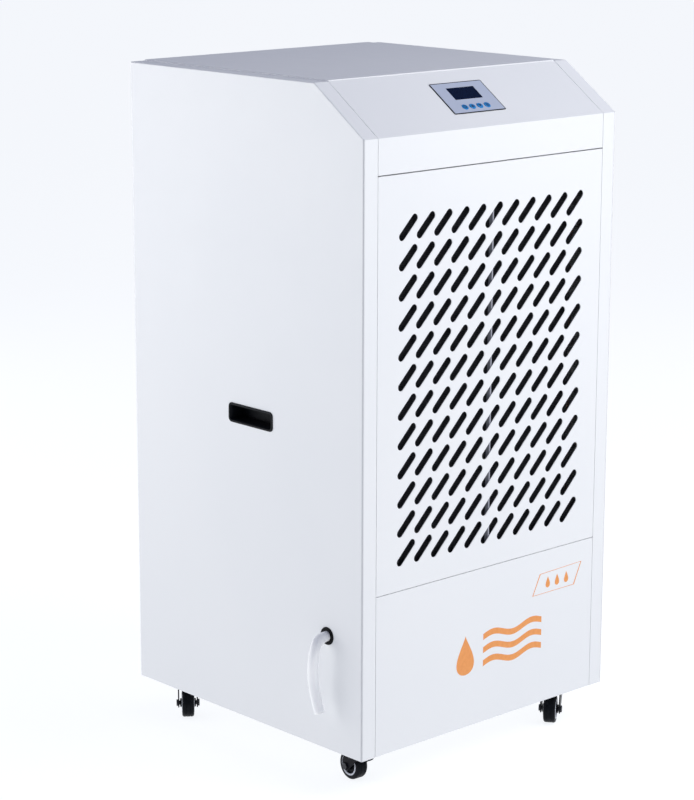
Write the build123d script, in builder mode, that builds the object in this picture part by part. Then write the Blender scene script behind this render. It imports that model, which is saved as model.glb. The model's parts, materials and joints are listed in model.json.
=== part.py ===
from build123d import *
import os
from math import atan2, cos, pi, radians, sin, tan

os.makedirs("parts", exist_ok=True)

# Commercial dehumidifier. Millimetres, +Z up, front face towards -Y.
# The origin is on the floor, below the middle of the cabinet.

# ---------------------------------------------------------------- driving dimensions
CAB_W = 600.0            # cabinet width
CAB_D = 600.0            # cabinet depth
CAB_FOOT = 70.0          # lower edge of the cabinet above the floor
CAB_TOP = 1198.0         # upper edge of the side panels
NOSE_TOP = 1116.0        # where the upright front turns into the sloping fascia
SLOPE_RUN = 118.0        # depth of the sloping fascia
SHEET = 1.2              # cabinet sheet
HEAVY_SHEET = 2.0        # base, coil stand and end plates
STRIP = 31.0             # side panels wrap this far round the front, slope and top
BEND = 1.8               # outer radius of the bent sheet edges
SEAM = 0.8               # gap between neighbouring panels
RETURN_DEPTH = 12.0      # folded edge behind the front panels
HEAD_H = 1.2             # low screw head, which is the rearmost point
COVER_RISE = 2.0         # the top cover stands this far above the side panels
LEDGE = 15.0             # hidden part of the side panels' top flange, under the cover
RIM_PROUD = 1.8          # handle rims and grommet lip stand this far off the sides

GRILLE_FOOT = 352.6      # lower edge of the air inlet panel
GRILLE_TOP = 1054.4      # upper edge of the air inlet panel
FASCIA_FOOT = 1056.4     # lower edge of the bent fascia, above a dark gap
SLOT_L, SLOT_W = 54.0, 13.8
SLOT_STEP_X, SLOT_STEP_Z = 40.0, 50.0
SLOT_COLUMNS, SLOT_ROWS = 11, 12
SLOT_MID_Z = 691.3
SLOT_LEAN = 45.0         # degrees, rising to the right

FAN_Z = 720.0            # height of the fan shaft
FAN_R = 198.0            # blade tip radius
RING_R = 205.0           # inside radius of the fan ring
VENT_R = 200.0           # radius of the slotted field in the rear panel

PANEL_X = -5.8           # middle of the control panel
PANEL_S = 74.2           # middle of the control panel, measured up the slope
PANEL_W, PANEL_H = 121.5, 77.5
BEZEL_T = 1.0
POCKET_W, POCKET_H = 112.0, 70.0   # opening in the fascia behind the bezel
WINDOW_W, WINDOW_H, WINDOW_RISE = 65.0, 30.0, 9.9
BUTTON_R = 6.2
BUTTON_CLEAR = 0.3
BUTTON_STEP = 17.5
BUTTON_DROP = -24.5      # button row below the middle of the control panel
BUTTON_COUNT = 4

CUP_Y, CUP_Z = -19.8, 616.3        # middle of the recessed handles
CUP_W, CUP_H, CUP_R = 115.0, 34.5, 8.0
CUP_DEPTH = 30.0
CUP_WALL = 2.2

DRAIN_Y, DRAIN_Z = -214.4, 271.6   # drain outlet in the left side
HOSE_R = 9.0
GROMMET_R = 12.5                   # hole for the drain grommet
# Drain hose, from the outlet to its cut end.
HOSE_ROUTE = [
    (-299.0, -214.4, 271.6),
    (-313.0, -214.4, 271.6),
    (-328.0, -218.0, 265.6),
    (-336.0, -221.0, 251.6),
    (-338.5, -221.0, 232.6),
    (-336.0, -217.0, 204.0),
    (-333.0, -221.0, 174.0),
    (-331.5, -230.5, 146.0),
]

CASTER_X, CASTER_Y = 238.0, 238.0  # swivel axes
BASE_Z = 76.0                      # underside of the base pan
WHEEL_R = 26.0
TREAD_W = 22.0
TRAIL = 26.0
AXLE_R = 4.0
RUNNING = 0.05                     # radial clearance of a shaft in its bore
# Each caster's corner and the direction in which its wheel trails.
CASTERS = {
    "front_left": (-1, -1, 86.0),
    "front_right": (1, -1, 216.0),
    "rear_left": (-1, 1, 232.0),
    "rear_right": (1, 1, 335.0),
}

COIL_X = 235.0                     # half length of the fin blocks
COIL_FOOT, COIL_TOP = 345.0, 985.0
EVAPORATOR_Y, EVAPORATOR_T = -233.0, 44.0
CONDENSER_Y, CONDENSER_T = -163.0, 66.0
TUBE_R = 4.76
TUBE_PITCH = 40.0
TUBE_PASSES = 16
TUBE_FOOT = 365.0                  # height of the lowest pass
FIN_T, FIN_STEP = 0.5, 8.0

COMP_X, COMP_Y = 60.0, 110.0       # compressor centre
COMP_R = 75.0
FOOT_PCR = 96.0                    # radius of the compressor's feet
FEET = (90.0, 210.0, 330.0)        # directions of the feet
FOOT_PAD_R = 17.0
FOOT_BOLT_R = 3.9

# ---------------------------------------------------------------- worked out
HALF_W = CAB_W / 2
FRONT_Y = -CAB_D / 2
BACK_Y = CAB_D / 2
SIDE_BACK_Y = BACK_Y - HEAD_H - SHEET
SLOPE_TOP_Y = FRONT_Y + SLOPE_RUN
SLOPE_RAD = atan2(CAB_TOP - NOSE_TOP, SLOPE_RUN)
PANEL_HALF = HALF_W - STRIP - SEAM      # half width of the front panels
SLOPE = Plane(
    origin=(0, FRONT_Y, NOSE_TOP),
    x_dir=(1, 0, 0),
    z_dir=(0, -sin(SLOPE_RAD), cos(SLOPE_RAD)),
)
CUP_HOLE_W, CUP_HOLE_H = CUP_W - 6, CUP_H - 6


def on_slope(x, s, rise):
    """Plane parallel to the sloping fascia, centred at x across and s up the slope."""
    return Plane(
        origin=SLOPE.from_local_coords(Vector(x, s, rise)),
        x_dir=SLOPE.x_dir,
        z_dir=SLOPE.z_dir,
    )


def side_outline(inset, foot):
    """Side view of the cabinet as (y, z) points, its edges moved inward by inset."""
    slope_low = NOSE_TOP + inset * tan(SLOPE_RAD) - inset / cos(SLOPE_RAD)
    slope_high = FRONT_Y + (CAB_TOP - inset - NOSE_TOP + inset / cos(SLOPE_RAD)) / tan(SLOPE_RAD)
    return [
        (FRONT_Y + inset, foot),
        (SIDE_BACK_Y - inset, foot),
        (SIDE_BACK_Y - inset, CAB_TOP - inset),
        (slope_high, CAB_TOP - inset),
        (FRONT_Y + inset, slope_low),
    ]


def lay_tube(points, bends, radius):
    """Add a round bar along straight runs and tangent arcs, and return its length."""
    with BuildLine() as route:
        FilletPolyline(*points, radius=bends)
    with BuildSketch(Plane(origin=route.line @ 0, z_dir=route.line % 0)) as section:
        Circle(radius)
    sweep(sections=section.sketch, path=route.line)
    return sum(edge.length for edge in route.edges())


def serpentine(y):
    """Corner points of a coil's tube, which starts and ends at the right."""
    points = []
    for index in range(TUBE_PASSES):
        z = TUBE_FOOT + index * TUBE_PITCH
        reach = COIL_X + 10 + TUBE_PITCH / 2
        ends = (reach, -reach) if index % 2 == 0 else (-reach, reach)
        points += [(x, y, z) for x in ends]
    points[0] = (COIL_X + 10, y, TUBE_FOOT)
    points[-1] = (COIL_X + 10, y, points[-1][2])
    return points


def front_pan(half_width, foot, top):
    """Add a shallow pan with its face at the cabinet's front and its edges folded in."""
    middle = (0, (foot + top) / 2)
    height = top - foot
    with BuildSketch(Plane.XZ.offset(-FRONT_Y)) as face:
        with Locations(middle):
            Rectangle(2 * half_width, height)
    extrude(face.sketch, amount=-RETURN_DEPTH)
    with BuildSketch(Plane.XZ.offset(-FRONT_Y - SHEET)) as inside:
        with Locations(middle):
            Rectangle(2 * (half_width - SHEET), height - 2 * SHEET)
    extrude(inside.sketch, amount=-RETURN_DEPTH, mode=Mode.SUBTRACT)


def slotted(centres, y):
    """Punch obround slots through the sheet whose outer face is at y."""
    with BuildSketch(Plane.XZ.offset(-y)) as slots:
        with Locations(*centres):
            SlotOverall(SLOT_L, SLOT_W, rotation=SLOT_LEAN)
    extrude(slots.sketch, amount=SHEET, both=True, mode=Mode.SUBTRACT)


# ================================================================ cabinet
# Base pan: floor plate with an upturned edge, drilled for the caster bolts.
PAN_X = HALF_W - SHEET - 0.4
PAN_FRONT, PAN_BACK = FRONT_Y + RETURN_DEPTH + 0.5, SIDE_BACK_Y - SHEET - 0.4
PAN_RISE = 30.0
CASTER_BOLT_STEP = 44.0
CASTER_BOLT_R = 3.0
caster_axes = [(sx * CASTER_X, sy * CASTER_Y) for sx, sy, _ in CASTERS.values()]
bolt_spots = [
    (x + dx * CASTER_BOLT_STEP / 2, y + dy * CASTER_BOLT_STEP / 2)
    for x, y in caster_axes
    for dx in (-1, 1)
    for dy in (-1, 1)
]
foot_spots = [
    (COMP_X + FOOT_PCR * cos(radians(a)), COMP_Y + FOOT_PCR * sin(radians(a))) for a in FEET
]
with BuildPart() as base_pan:
    with BuildSketch(Plane.XY.offset(BASE_Z)):
        with Locations((0, (PAN_FRONT + PAN_BACK) / 2)):
            Rectangle(2 * PAN_X, PAN_BACK - PAN_FRONT)
    extrude(amount=PAN_RISE)
    with BuildSketch(Plane.XY.offset(BASE_Z + HEAVY_SHEET)):
        with Locations((0, (PAN_FRONT + PAN_BACK) / 2)):
            Rectangle(2 * (PAN_X - HEAVY_SHEET), PAN_BACK - PAN_FRONT - 2 * HEAVY_SHEET)
    extrude(amount=PAN_RISE, mode=Mode.SUBTRACT)
    with BuildSketch(Plane.XY.offset(BASE_Z)):
        with Locations(*bolt_spots):
            Circle(CASTER_BOLT_R + 0.3)
        with Locations(*foot_spots):
            Circle(FOOT_BOLT_R + 0.1)
    extrude(amount=HEAVY_SHEET, mode=Mode.SUBTRACT)
base_pan.part.label = "base_pan"
export_step(base_pan.part, "parts/base_pan.step")

# Side panels: one sheet each, wrapped round the front, slope, top and rear.
REAR_FLANGE = 20.0
SCREW_X = HALF_W - 10
SCREW_HEIGHTS = (140.0, 370.0, 640.0, 910.0, 1165.0)
SCREW_R, SCREW_HEAD_R = 2.0, 4.5
SCREW_L = 8.0
CROSS_L, CROSS_W = 4.4, 0.9
rear_screws = [(sx * SCREW_X, z) for sx in (-1, 1) for z in SCREW_HEIGHTS]
LEDGE_FRONT_Y = SLOPE_TOP_Y + 26   # the ledge starts behind the fascia's flange
for side, sign in (("left", -1), ("right", 1)):
    with BuildPart() as side_panel:
        with BuildSketch(Plane.YZ.offset(sign * HALF_W)):
            Polygon(*side_outline(0, CAB_FOOT), align=None)
        extrude(amount=-sign * STRIP)
        with BuildSketch(Plane.YZ.offset(sign * (HALF_W - SHEET))):
            Polygon(*side_outline(SHEET, CAB_FOOT - 1), align=None)
        extrude(amount=-sign * STRIP, mode=Mode.SUBTRACT)
        # The rear flange is narrower than the front one.
        with BuildSketch(Plane.XZ.offset(-SIDE_BACK_Y)):
            with Locations((sign * (HALF_W - REAR_FLANGE), CAB_FOOT)):
                Rectangle(
                    STRIP,
                    CAB_TOP - SHEET - CAB_FOOT,
                    align=(Align.MAX if sign > 0 else Align.MIN, Align.MIN),
                )
        extrude(amount=SHEET, mode=Mode.SUBTRACT)
        # The ledge under the top cover.
        with BuildSketch(Plane.XY.offset(CAB_TOP - SHEET)):
            with Locations((sign * (HALF_W - STRIP - LEDGE / 2), 0)):
                Rectangle(LEDGE, 2 * SIDE_BACK_Y)
            with Locations((sign * (HALF_W - STRIP - LEDGE / 2), -SIDE_BACK_Y)):
                Rectangle(LEDGE, 2 * (SIDE_BACK_Y + LEDGE_FRONT_Y), mode=Mode.SUBTRACT)
        extrude(amount=SHEET)
        with BuildSketch(Plane.YZ.offset(sign * HALF_W)):
            with Locations((CUP_Y, CUP_Z)):
                RectangleRounded(CUP_HOLE_W, CUP_HOLE_H, CUP_R - 3)
            if sign < 0:
                with Locations((DRAIN_Y, DRAIN_Z)):
                    Circle(GROMMET_R)
        extrude(amount=-sign * SHEET, mode=Mode.SUBTRACT)
        with BuildSketch(Plane.XZ.offset(-SIDE_BACK_Y)):
            with Locations(*[spot for spot in rear_screws if spot[0] * sign > 0]):
                Circle(SCREW_R + 0.1)
        extrude(amount=SHEET, mode=Mode.SUBTRACT)
        outer_face = side_panel.faces().sort_by(Axis.X)[0 if sign < 0 else -1]
        bent_edges = [
            edge
            for edge in outer_face.outer_wire().edges()
            if edge.center().Z > CAB_FOOT + 1
        ]
        fillet(bent_edges, BEND)
    side_panel.part.label = f"{side}_side_panel"
    export_step(side_panel.part, f"parts/{side}_side_panel.step")

# Rear panel: flat sheet with a round field of slots for the outgoing air.
REAR_HALF = HALF_W - 3
TOP_FLANGE = 20.0
GLAND_X, GLAND_Z, GLAND_R = -220.0, 180.0, 11.0
GLAND_L, LEAD_R = 12.0, 5.0
vent_slots = [
    (col * SLOT_STEP_X, FAN_Z + row * SLOT_STEP_Z)
    for col in range(-5, 6)
    for row in range(-4, 5)
    if (col * SLOT_STEP_X) ** 2 + (row * SLOT_STEP_Z) ** 2 < (VENT_R - 20) ** 2
]
with BuildPart() as rear_panel:
    with BuildSketch(Plane.XZ.offset(-SIDE_BACK_Y - SHEET)):
        with Locations((0, (CAB_FOOT + 2 + CAB_TOP) / 2)):
            Rectangle(2 * REAR_HALF, CAB_TOP - CAB_FOOT - 2)
        with Locations(*rear_screws):
            Circle(SCREW_R + 0.1, mode=Mode.SUBTRACT)
        with Locations((GLAND_X, GLAND_Z)):
            Circle(GLAND_R, mode=Mode.SUBTRACT)
    extrude(amount=SHEET)
    with BuildSketch(Plane.XY.offset(CAB_TOP - SHEET)):
        with Locations((0, SIDE_BACK_Y - TOP_FLANGE / 2)):
            Rectangle(2 * (HALF_W - STRIP - LEDGE - 1), TOP_FLANGE)
    extrude(amount=SHEET)
    slotted(vent_slots, SIDE_BACK_Y + SHEET / 2)
rear_panel.part.label = "rear_panel"
export_step(rear_panel.part, "parts/rear_panel.step")

# Top cover: shallow lid resting on the side panels' ledges.
COVER_HALF = HALF_W - STRIP
COVER_FRONT, COVER_BACK = SLOPE_TOP_Y + 0.8, SIDE_BACK_Y + SHEET
with BuildPart() as top_cover:
    with BuildSketch(Plane.XY.offset(CAB_TOP)):
        with Locations((0, (COVER_FRONT + COVER_BACK) / 2)):
            RectangleRounded(2 * COVER_HALF, COVER_BACK - COVER_FRONT, 2.5)
    extrude(amount=COVER_RISE)
    with BuildSketch(Plane.XY.offset(CAB_TOP)):
        with Locations((0, (COVER_FRONT + COVER_BACK) / 2)):
            Rectangle(2 * (COVER_HALF - SHEET), COVER_BACK - COVER_FRONT - 2 * SHEET)
    extrude(amount=COVER_RISE - SHEET, mode=Mode.SUBTRACT)
    fillet(top_cover.faces().sort_by(Axis.Z)[-1].edges(), 1.0)
top_cover.part.label = "top_cover"
export_step(top_cover.part, "parts/top_cover.step")

# Fascia: one bent sheet, the strip above the grille and the slope above it.
FASCIA_FLANGE = 22.0
fascia_line = [
    (FRONT_Y + RETURN_DEPTH, FASCIA_FOOT),
    (FRONT_Y, FASCIA_FOOT),
    (FRONT_Y, NOSE_TOP),
    (SLOPE_TOP_Y, CAB_TOP),
    (SLOPE_TOP_Y + FASCIA_FLANGE, CAB_TOP),
]
with BuildPart() as control_fascia:
    with BuildSketch(Plane.YZ.offset(-PANEL_HALF)):
        with BuildLine():
            Polyline(*fascia_line)
            offset(amount=SHEET, side=Side.RIGHT, kind=Kind.INTERSECTION)
        make_face()
    extrude(amount=2 * PANEL_HALF)
    with BuildSketch(on_slope(PANEL_X, PANEL_S, 1)):
        Rectangle(POCKET_W, POCKET_H)
    extrude(amount=-4, mode=Mode.SUBTRACT)
control_fascia.part.label = "control_fascia"
export_step(control_fascia.part, "parts/control_fascia.step")

# Air inlet panel with its field of leaning slots.
half_rows, half_columns = (SLOT_ROWS - 1) / 2, (SLOT_COLUMNS - 1) / 2
inlet_slots = [
    ((col - half_columns) * SLOT_STEP_X, SLOT_MID_Z + (row - half_rows) * SLOT_STEP_Z)
    for col in range(SLOT_COLUMNS)
    for row in range(SLOT_ROWS)
]
with BuildPart() as front_grille_panel:
    front_pan(PANEL_HALF, GRILLE_FOOT, GRILLE_TOP)
    slotted(inlet_slots, FRONT_Y + SHEET / 2)
front_grille_panel.part.label = "front_grille_panel"
export_step(front_grille_panel.part, "parts/front_grille_panel.step")

# Plain panel below the grille.
with BuildPart() as lower_front_panel:
    front_pan(PANEL_HALF, CAB_FOOT + 0.5, GRILLE_FOOT - 1.2)
lower_front_panel.part.label = "lower_front_panel"
export_step(lower_front_panel.part, "parts/lower_front_panel.step")

# Recessed handles: a moulded cup with a rim that laps the sheet.
for side, sign in (("left", -1), ("right", 1)):
    with BuildPart() as handle_cup:
        with BuildSketch(Plane.YZ.offset(sign * HALF_W)):
            with Locations((CUP_Y, CUP_Z)):
                RectangleRounded(CUP_W, CUP_H, CUP_R)
        extrude(amount=sign * RIM_PROUD)
        fillet(handle_cup.faces().sort_by(Axis.X)[0 if sign < 0 else -1].edges(), 1.2)
        with BuildSketch(Plane.YZ.offset(sign * HALF_W)):
            with Locations((CUP_Y, CUP_Z)):
                RectangleRounded(CUP_HOLE_W - 0.4, CUP_HOLE_H - 0.4, CUP_R - 3)
        extrude(amount=-sign * (CUP_DEPTH + CUP_WALL))
        # Pocket, with a flared mouth.
        with BuildSketch(Plane.YZ.offset(sign * (HALF_W + RIM_PROUD))):
            with Locations((CUP_Y, CUP_Z)):
                RectangleRounded(CUP_HOLE_W - 1, CUP_HOLE_H - 1, CUP_R - 3)
        with BuildSketch(Plane.YZ.offset(sign * (HALF_W - 3))):
            with Locations((CUP_Y, CUP_Z)):
                RectangleRounded(CUP_HOLE_W - 2 * CUP_WALL, CUP_HOLE_H - 2 * CUP_WALL, 3)
        loft(mode=Mode.SUBTRACT)
        with BuildSketch(Plane.YZ.offset(sign * (HALF_W - 3))):
            with Locations((CUP_Y, CUP_Z)):
                RectangleRounded(CUP_HOLE_W - 2 * CUP_WALL, CUP_HOLE_H - 2 * CUP_WALL, 3)
        extrude(amount=-sign * (CUP_DEPTH - 3), mode=Mode.SUBTRACT)
    handle_cup.part.label = f"handle_cup_{side}"
    export_step(handle_cup.part, f"parts/handle_cup_{side}.step")

# Low-head screws that hold the rear panel, as a group.
with BuildPart() as rear_panel_screws:
    with BuildSketch(Plane.XZ.offset(-SIDE_BACK_Y - SHEET)):
        with Locations(*rear_screws):
            Circle(SCREW_HEAD_R)
    extrude(amount=-HEAD_H)
    fillet(rear_panel_screws.faces().filter_by(Axis.Y).group_by(Axis.Y)[-1].edges(), 0.9)
    with BuildSketch(Plane.XZ.offset(-SIDE_BACK_Y - SHEET)):
        with Locations(*rear_screws):
            Circle(SCREW_R)
    extrude(amount=SCREW_L)
    with BuildSketch(Plane.XZ.offset(-BACK_Y)):
        with Locations(*rear_screws):
            Rectangle(CROSS_L, CROSS_W)
            Rectangle(CROSS_W, CROSS_L)
    extrude(amount=HEAD_H / 2, mode=Mode.SUBTRACT)
rear_panel_screws.part.label = "rear_panel_screws"
export_step(rear_panel_screws.part, "parts/rear_panel_screws.step")

# Snap bushing for the power lead, low in the rear panel.
with BuildPart() as cord_gland:
    with BuildSketch(Plane.XZ.offset(-SIDE_BACK_Y - SHEET)):
        with Locations((GLAND_X, GLAND_Z)):
            Circle(GLAND_R + 3.5)
    extrude(amount=-HEAD_H)
    with BuildSketch(Plane.XZ.offset(-SIDE_BACK_Y - SHEET)):
        with Locations((GLAND_X, GLAND_Z)):
            Circle(GLAND_R - 0.1)
    extrude(amount=GLAND_L)
    with BuildSketch(Plane.XZ.offset(-BACK_Y)):
        with Locations((GLAND_X, GLAND_Z)):
            Circle(LEAD_R)
    extrude(amount=GLAND_L + 2 * HEAD_H + 1, mode=Mode.SUBTRACT)
cord_gland.part.label = "cord_gland"
export_step(cord_gland.part, "parts/cord_gland.step")

# ================================================================ controls
button_spots = [
    ((index - (BUTTON_COUNT - 1) / 2) * BUTTON_STEP, BUTTON_DROP) for index in range(BUTTON_COUNT)
]
BEZEL_SKIRT, SKIRT_T = 14.0, 1.5
with BuildPart() as control_bezel:
    with BuildSketch(on_slope(PANEL_X, PANEL_S, 0)):
        RectangleRounded(PANEL_W, PANEL_H, 2.0)
        with Locations((0, WINDOW_RISE)):
            Rectangle(WINDOW_W, WINDOW_H, mode=Mode.SUBTRACT)
        with Locations(*button_spots):
            Circle(BUTTON_R + BUTTON_CLEAR, mode=Mode.SUBTRACT)
    extrude(amount=BEZEL_T)
    with BuildSketch(on_slope(PANEL_X, PANEL_S, 0)):
        Rectangle(POCKET_W - 0.4, POCKET_H - 0.4)
        Rectangle(POCKET_W - 0.4 - 2 * SKIRT_T, POCKET_H - 0.4 - 2 * SKIRT_T, mode=Mode.SUBTRACT)
    extrude(amount=-BEZEL_SKIRT)
control_bezel.part.label = "control_bezel"
export_step(control_bezel.part, "parts/control_bezel.step")

with BuildPart() as display_window:
    with BuildSketch(on_slope(PANEL_X, PANEL_S + WINDOW_RISE, 0.2)):
        Rectangle(WINDOW_W, WINDOW_H)
    extrude(amount=BEZEL_T - 0.5)
display_window.part.label = "display_window"
export_step(display_window.part, "parts/display_window.step")

# Board with the display module and one switch under each button.
BOARD_TOP, BOARD_T = -4.0, 1.6
SWITCH_TOP, SWITCH_W = -2.9, 6.0
with BuildPart() as control_board:
    with BuildSketch(on_slope(PANEL_X, PANEL_S, BOARD_TOP)):
        Rectangle(POCKET_W - 4, POCKET_H - 4)
    extrude(amount=-BOARD_T)
    with BuildSketch(on_slope(PANEL_X, PANEL_S + WINDOW_RISE, BOARD_TOP)):
        Rectangle(WINDOW_W - 1, WINDOW_H - 1)
    extrude(amount=0.2 - BOARD_TOP)
    with BuildSketch(on_slope(PANEL_X, PANEL_S, BOARD_TOP)):
        with Locations(*button_spots):
            Rectangle(SWITCH_W, SWITCH_W)
    extrude(amount=SWITCH_TOP - BOARD_TOP)
control_board.part.label = "control_board"
export_step(control_board.part, "parts/control_board.step")

# Round push buttons with a retaining flange below the bezel.
BUTTON_TOP = 2.2
BUTTON_FLANGE_R, BUTTON_FLANGE_T = BUTTON_R + 1.3, 1.2
for index, (dx, ds) in enumerate(button_spots, start=1):
    with BuildPart() as button:
        with BuildSketch(on_slope(PANEL_X + dx, PANEL_S + ds, -0.3)):
            Circle(BUTTON_R)
        extrude(amount=BUTTON_TOP + 0.3)
        fillet(button.edges().filter_by(GeomType.CIRCLE).group_by(Axis.Z)[-1], 0.6)
        with BuildSketch(on_slope(PANEL_X + dx, PANEL_S + ds, -0.3)):
            Circle(BUTTON_FLANGE_R)
        extrude(amount=-BUTTON_FLANGE_T)
    button.part.label = f"button_{index}"
    export_step(button.part, f"parts/button_{index}.step")

# ================================================================ drain
with BuildPart() as drain_grommet:
    with BuildSketch(Plane.YZ.offset(-HALF_W - RIM_PROUD)):
        with Locations((DRAIN_Y, DRAIN_Z)):
            Circle(GROMMET_R + 3)
    extrude(amount=RIM_PROUD)
    fillet(drain_grommet.faces().sort_by(Axis.X)[0].edges(), 1.2)
    with BuildSketch(Plane.YZ.offset(-HALF_W)):
        with Locations((DRAIN_Y, DRAIN_Z)):
            Circle(GROMMET_R - 0.1)
    extrude(amount=SHEET)
    with BuildSketch(Plane.YZ.offset(-HALF_W + SHEET)):
        with Locations((DRAIN_Y, DRAIN_Z)):
            Circle(GROMMET_R + 2)
    extrude(amount=3)
    with BuildSketch(Plane.YZ.offset(-HALF_W - 5)):
        with Locations((DRAIN_Y, DRAIN_Z)):
            Circle(HOSE_R + 0.15)
    extrude(amount=20, mode=Mode.SUBTRACT)
drain_grommet.part.label = "drain_grommet"
export_step(drain_grommet.part, "parts/drain_grommet.step")


def route_bends(points, share=0.45):
    """Largest arc at each corner that leaves its two runs a straight middle."""
    bends = []
    for before, corner, after in zip(points, points[1:], points[2:]):
        run_in = Vector(*corner) - Vector(*before)
        run_out = Vector(*after) - Vector(*corner)
        turn = radians(run_in.get_angle(run_out))
        bends.append(share * min(run_in.length, run_out.length) / tan(turn / 2))
    return bends


hose_bends = route_bends(HOSE_ROUTE)
with BuildPart() as drain_hose:
    hose_length = lay_tube(HOSE_ROUTE, hose_bends, HOSE_R)
drain_hose.part.label = "drain_hose"
export_step(drain_hose.part, "parts/drain_hose.step")
hose_fill = drain_hose.part.volume / (pi * HOSE_R**2 * hose_length)
print("hose bend radii", [round(bend, 1) for bend in hose_bends])
print("hose length", round(hose_length, 1))
print("hose volume / (section x length)", round(hose_fill, 5))

# Drip tray under the coils, with a spout at its left front.
TRAY_FLOOR = 306.0
TRAY_RISE = 30.0
TRAY_FRONT, TRAY_BACK = -262.0, -118.0
TRAY_W = 500.0
SPOUT_X = -235.0
SPOUT_DROP = 6.0
tray_middle = (0, (TRAY_FRONT + TRAY_BACK) / 2)
with BuildPart() as drip_tray:
    with BuildSketch(Plane.XY.offset(TRAY_FLOOR)):
        with Locations(tray_middle):
            Rectangle(TRAY_W, TRAY_BACK - TRAY_FRONT)
    extrude(amount=TRAY_RISE)
    with BuildSketch(Plane.XY.offset(TRAY_FLOOR + SHEET)):
        with Locations(tray_middle):
            Rectangle(TRAY_W - 2 * SHEET, TRAY_BACK - TRAY_FRONT - 2 * SHEET)
    extrude(amount=TRAY_RISE, mode=Mode.SUBTRACT)
    with BuildSketch(Plane.XY.offset(TRAY_FLOOR)):
        with Locations((SPOUT_X, DRAIN_Y)):
            Circle(HOSE_R)
    extrude(amount=-SPOUT_DROP)
    with BuildSketch(Plane.XY.offset(TRAY_FLOOR - SPOUT_DROP)):
        with Locations((SPOUT_X, DRAIN_Y)):
            Circle(HOSE_R - 2)
    extrude(amount=2 * SPOUT_DROP, mode=Mode.SUBTRACT)
drip_tray.part.label = "drip_tray"
export_step(drip_tray.part, "parts/drip_tray.step")

INNER_BEND = 22.0
with BuildPart() as inner_drain_pipe:
    lay_tube(
        [
            (SPOUT_X, DRAIN_Y, TRAY_FLOOR - SPOUT_DROP),
            (SPOUT_X, DRAIN_Y, DRAIN_Z),
            (HOSE_ROUTE[0][0], DRAIN_Y, DRAIN_Z),
        ],
        INNER_BEND,
        HOSE_R,
    )
inner_drain_pipe.part.label = "inner_drain_pipe"
export_step(inner_drain_pipe.part, "parts/inner_drain_pipe.step")

# Stand that carries the tray and the coils: a shelf on two folded legs.
LEG_X, LEG_FOOT = 200.0, 24.0
with BuildPart() as coil_stand:
    with BuildSketch(Plane.XZ.offset(-TRAY_FRONT)):
        with Locations((0, TRAY_FLOOR)):
            Rectangle(2 * LEG_X, HEAVY_SHEET, align=(Align.CENTER, Align.MAX))
        for sign in (-1, 1):
            with Locations((sign * (LEG_X - HEAVY_SHEET / 2), BASE_Z + HEAVY_SHEET)):
                Rectangle(
                    HEAVY_SHEET,
                    TRAY_FLOOR - BASE_Z - HEAVY_SHEET,
                    align=(Align.CENTER, Align.MIN),
                )
            with Locations((sign * (LEG_X - LEG_FOOT / 2), BASE_Z + HEAVY_SHEET)):
                Rectangle(LEG_FOOT, HEAVY_SHEET, align=(Align.CENTER, Align.MIN))
    extrude(amount=TRAY_FRONT - TRAY_BACK)
coil_stand.part.label = "coil_stand"
export_step(coil_stand.part, "parts/coil_stand.step")

# ================================================================ coils
pass_spots = [TUBE_FOOT + index * TUBE_PITCH for index in range(TUBE_PASSES)]
FIN_COUNT = int((2 * COIL_X - FIN_T) / FIN_STEP) + 1
fin_places = [(index - (FIN_COUNT - 1) / 2) * FIN_STEP - FIN_T / 2 for index in range(FIN_COUNT)]
for name, y, depth in (
    ("evaporator", EVAPORATOR_Y, EVAPORATOR_T),
    ("condenser", CONDENSER_Y, CONDENSER_T),
):
    with BuildPart() as fins:
        with BuildSketch(*[Plane.YZ.offset(x) for x in fin_places]):
            with Locations((y, (COIL_FOOT + COIL_TOP) / 2)):
                Rectangle(depth, COIL_TOP - COIL_FOOT)
            with Locations(*[(y, z) for z in pass_spots]):
                Circle(TUBE_R, mode=Mode.SUBTRACT)
        extrude(amount=FIN_T)
    fins.part.label = f"{name}_fins"
    export_step(fins.part, f"parts/{name}_fins.step")

    with BuildPart() as tubes:
        lay_tube(serpentine(y), TUBE_PITCH / 2 - 0.1, TUBE_R)
    tubes.part.label = f"{name}_tubes"
    export_step(tubes.part, f"parts/{name}_tubes.step")

# End plates that hold both coils and stand in the tray.
PLATE_FRONT = EVAPORATOR_Y - EVAPORATOR_T / 2 - 2
PLATE_BACK = CONDENSER_Y + CONDENSER_T / 2 + 2
with BuildPart() as coil_end_plates:
    for sign in (-1, 1):
        with BuildSketch(Plane.YZ.offset(sign * COIL_X)):
            with Locations(((PLATE_FRONT + PLATE_BACK) / 2, TRAY_FLOOR + SHEET)):
                Rectangle(
                    PLATE_BACK - PLATE_FRONT,
                    COIL_TOP + 7 - TRAY_FLOOR - SHEET,
                    align=(Align.CENTER, Align.MIN),
                )
            with Locations(*[(y, z) for y in (EVAPORATOR_Y, CONDENSER_Y) for z in pass_spots]):
                Circle(TUBE_R, mode=Mode.SUBTRACT)
        extrude(amount=sign * HEAVY_SHEET)
coil_end_plates.part.label = "coil_end_plates"
export_step(coil_end_plates.part, "parts/coil_end_plates.step")

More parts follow.
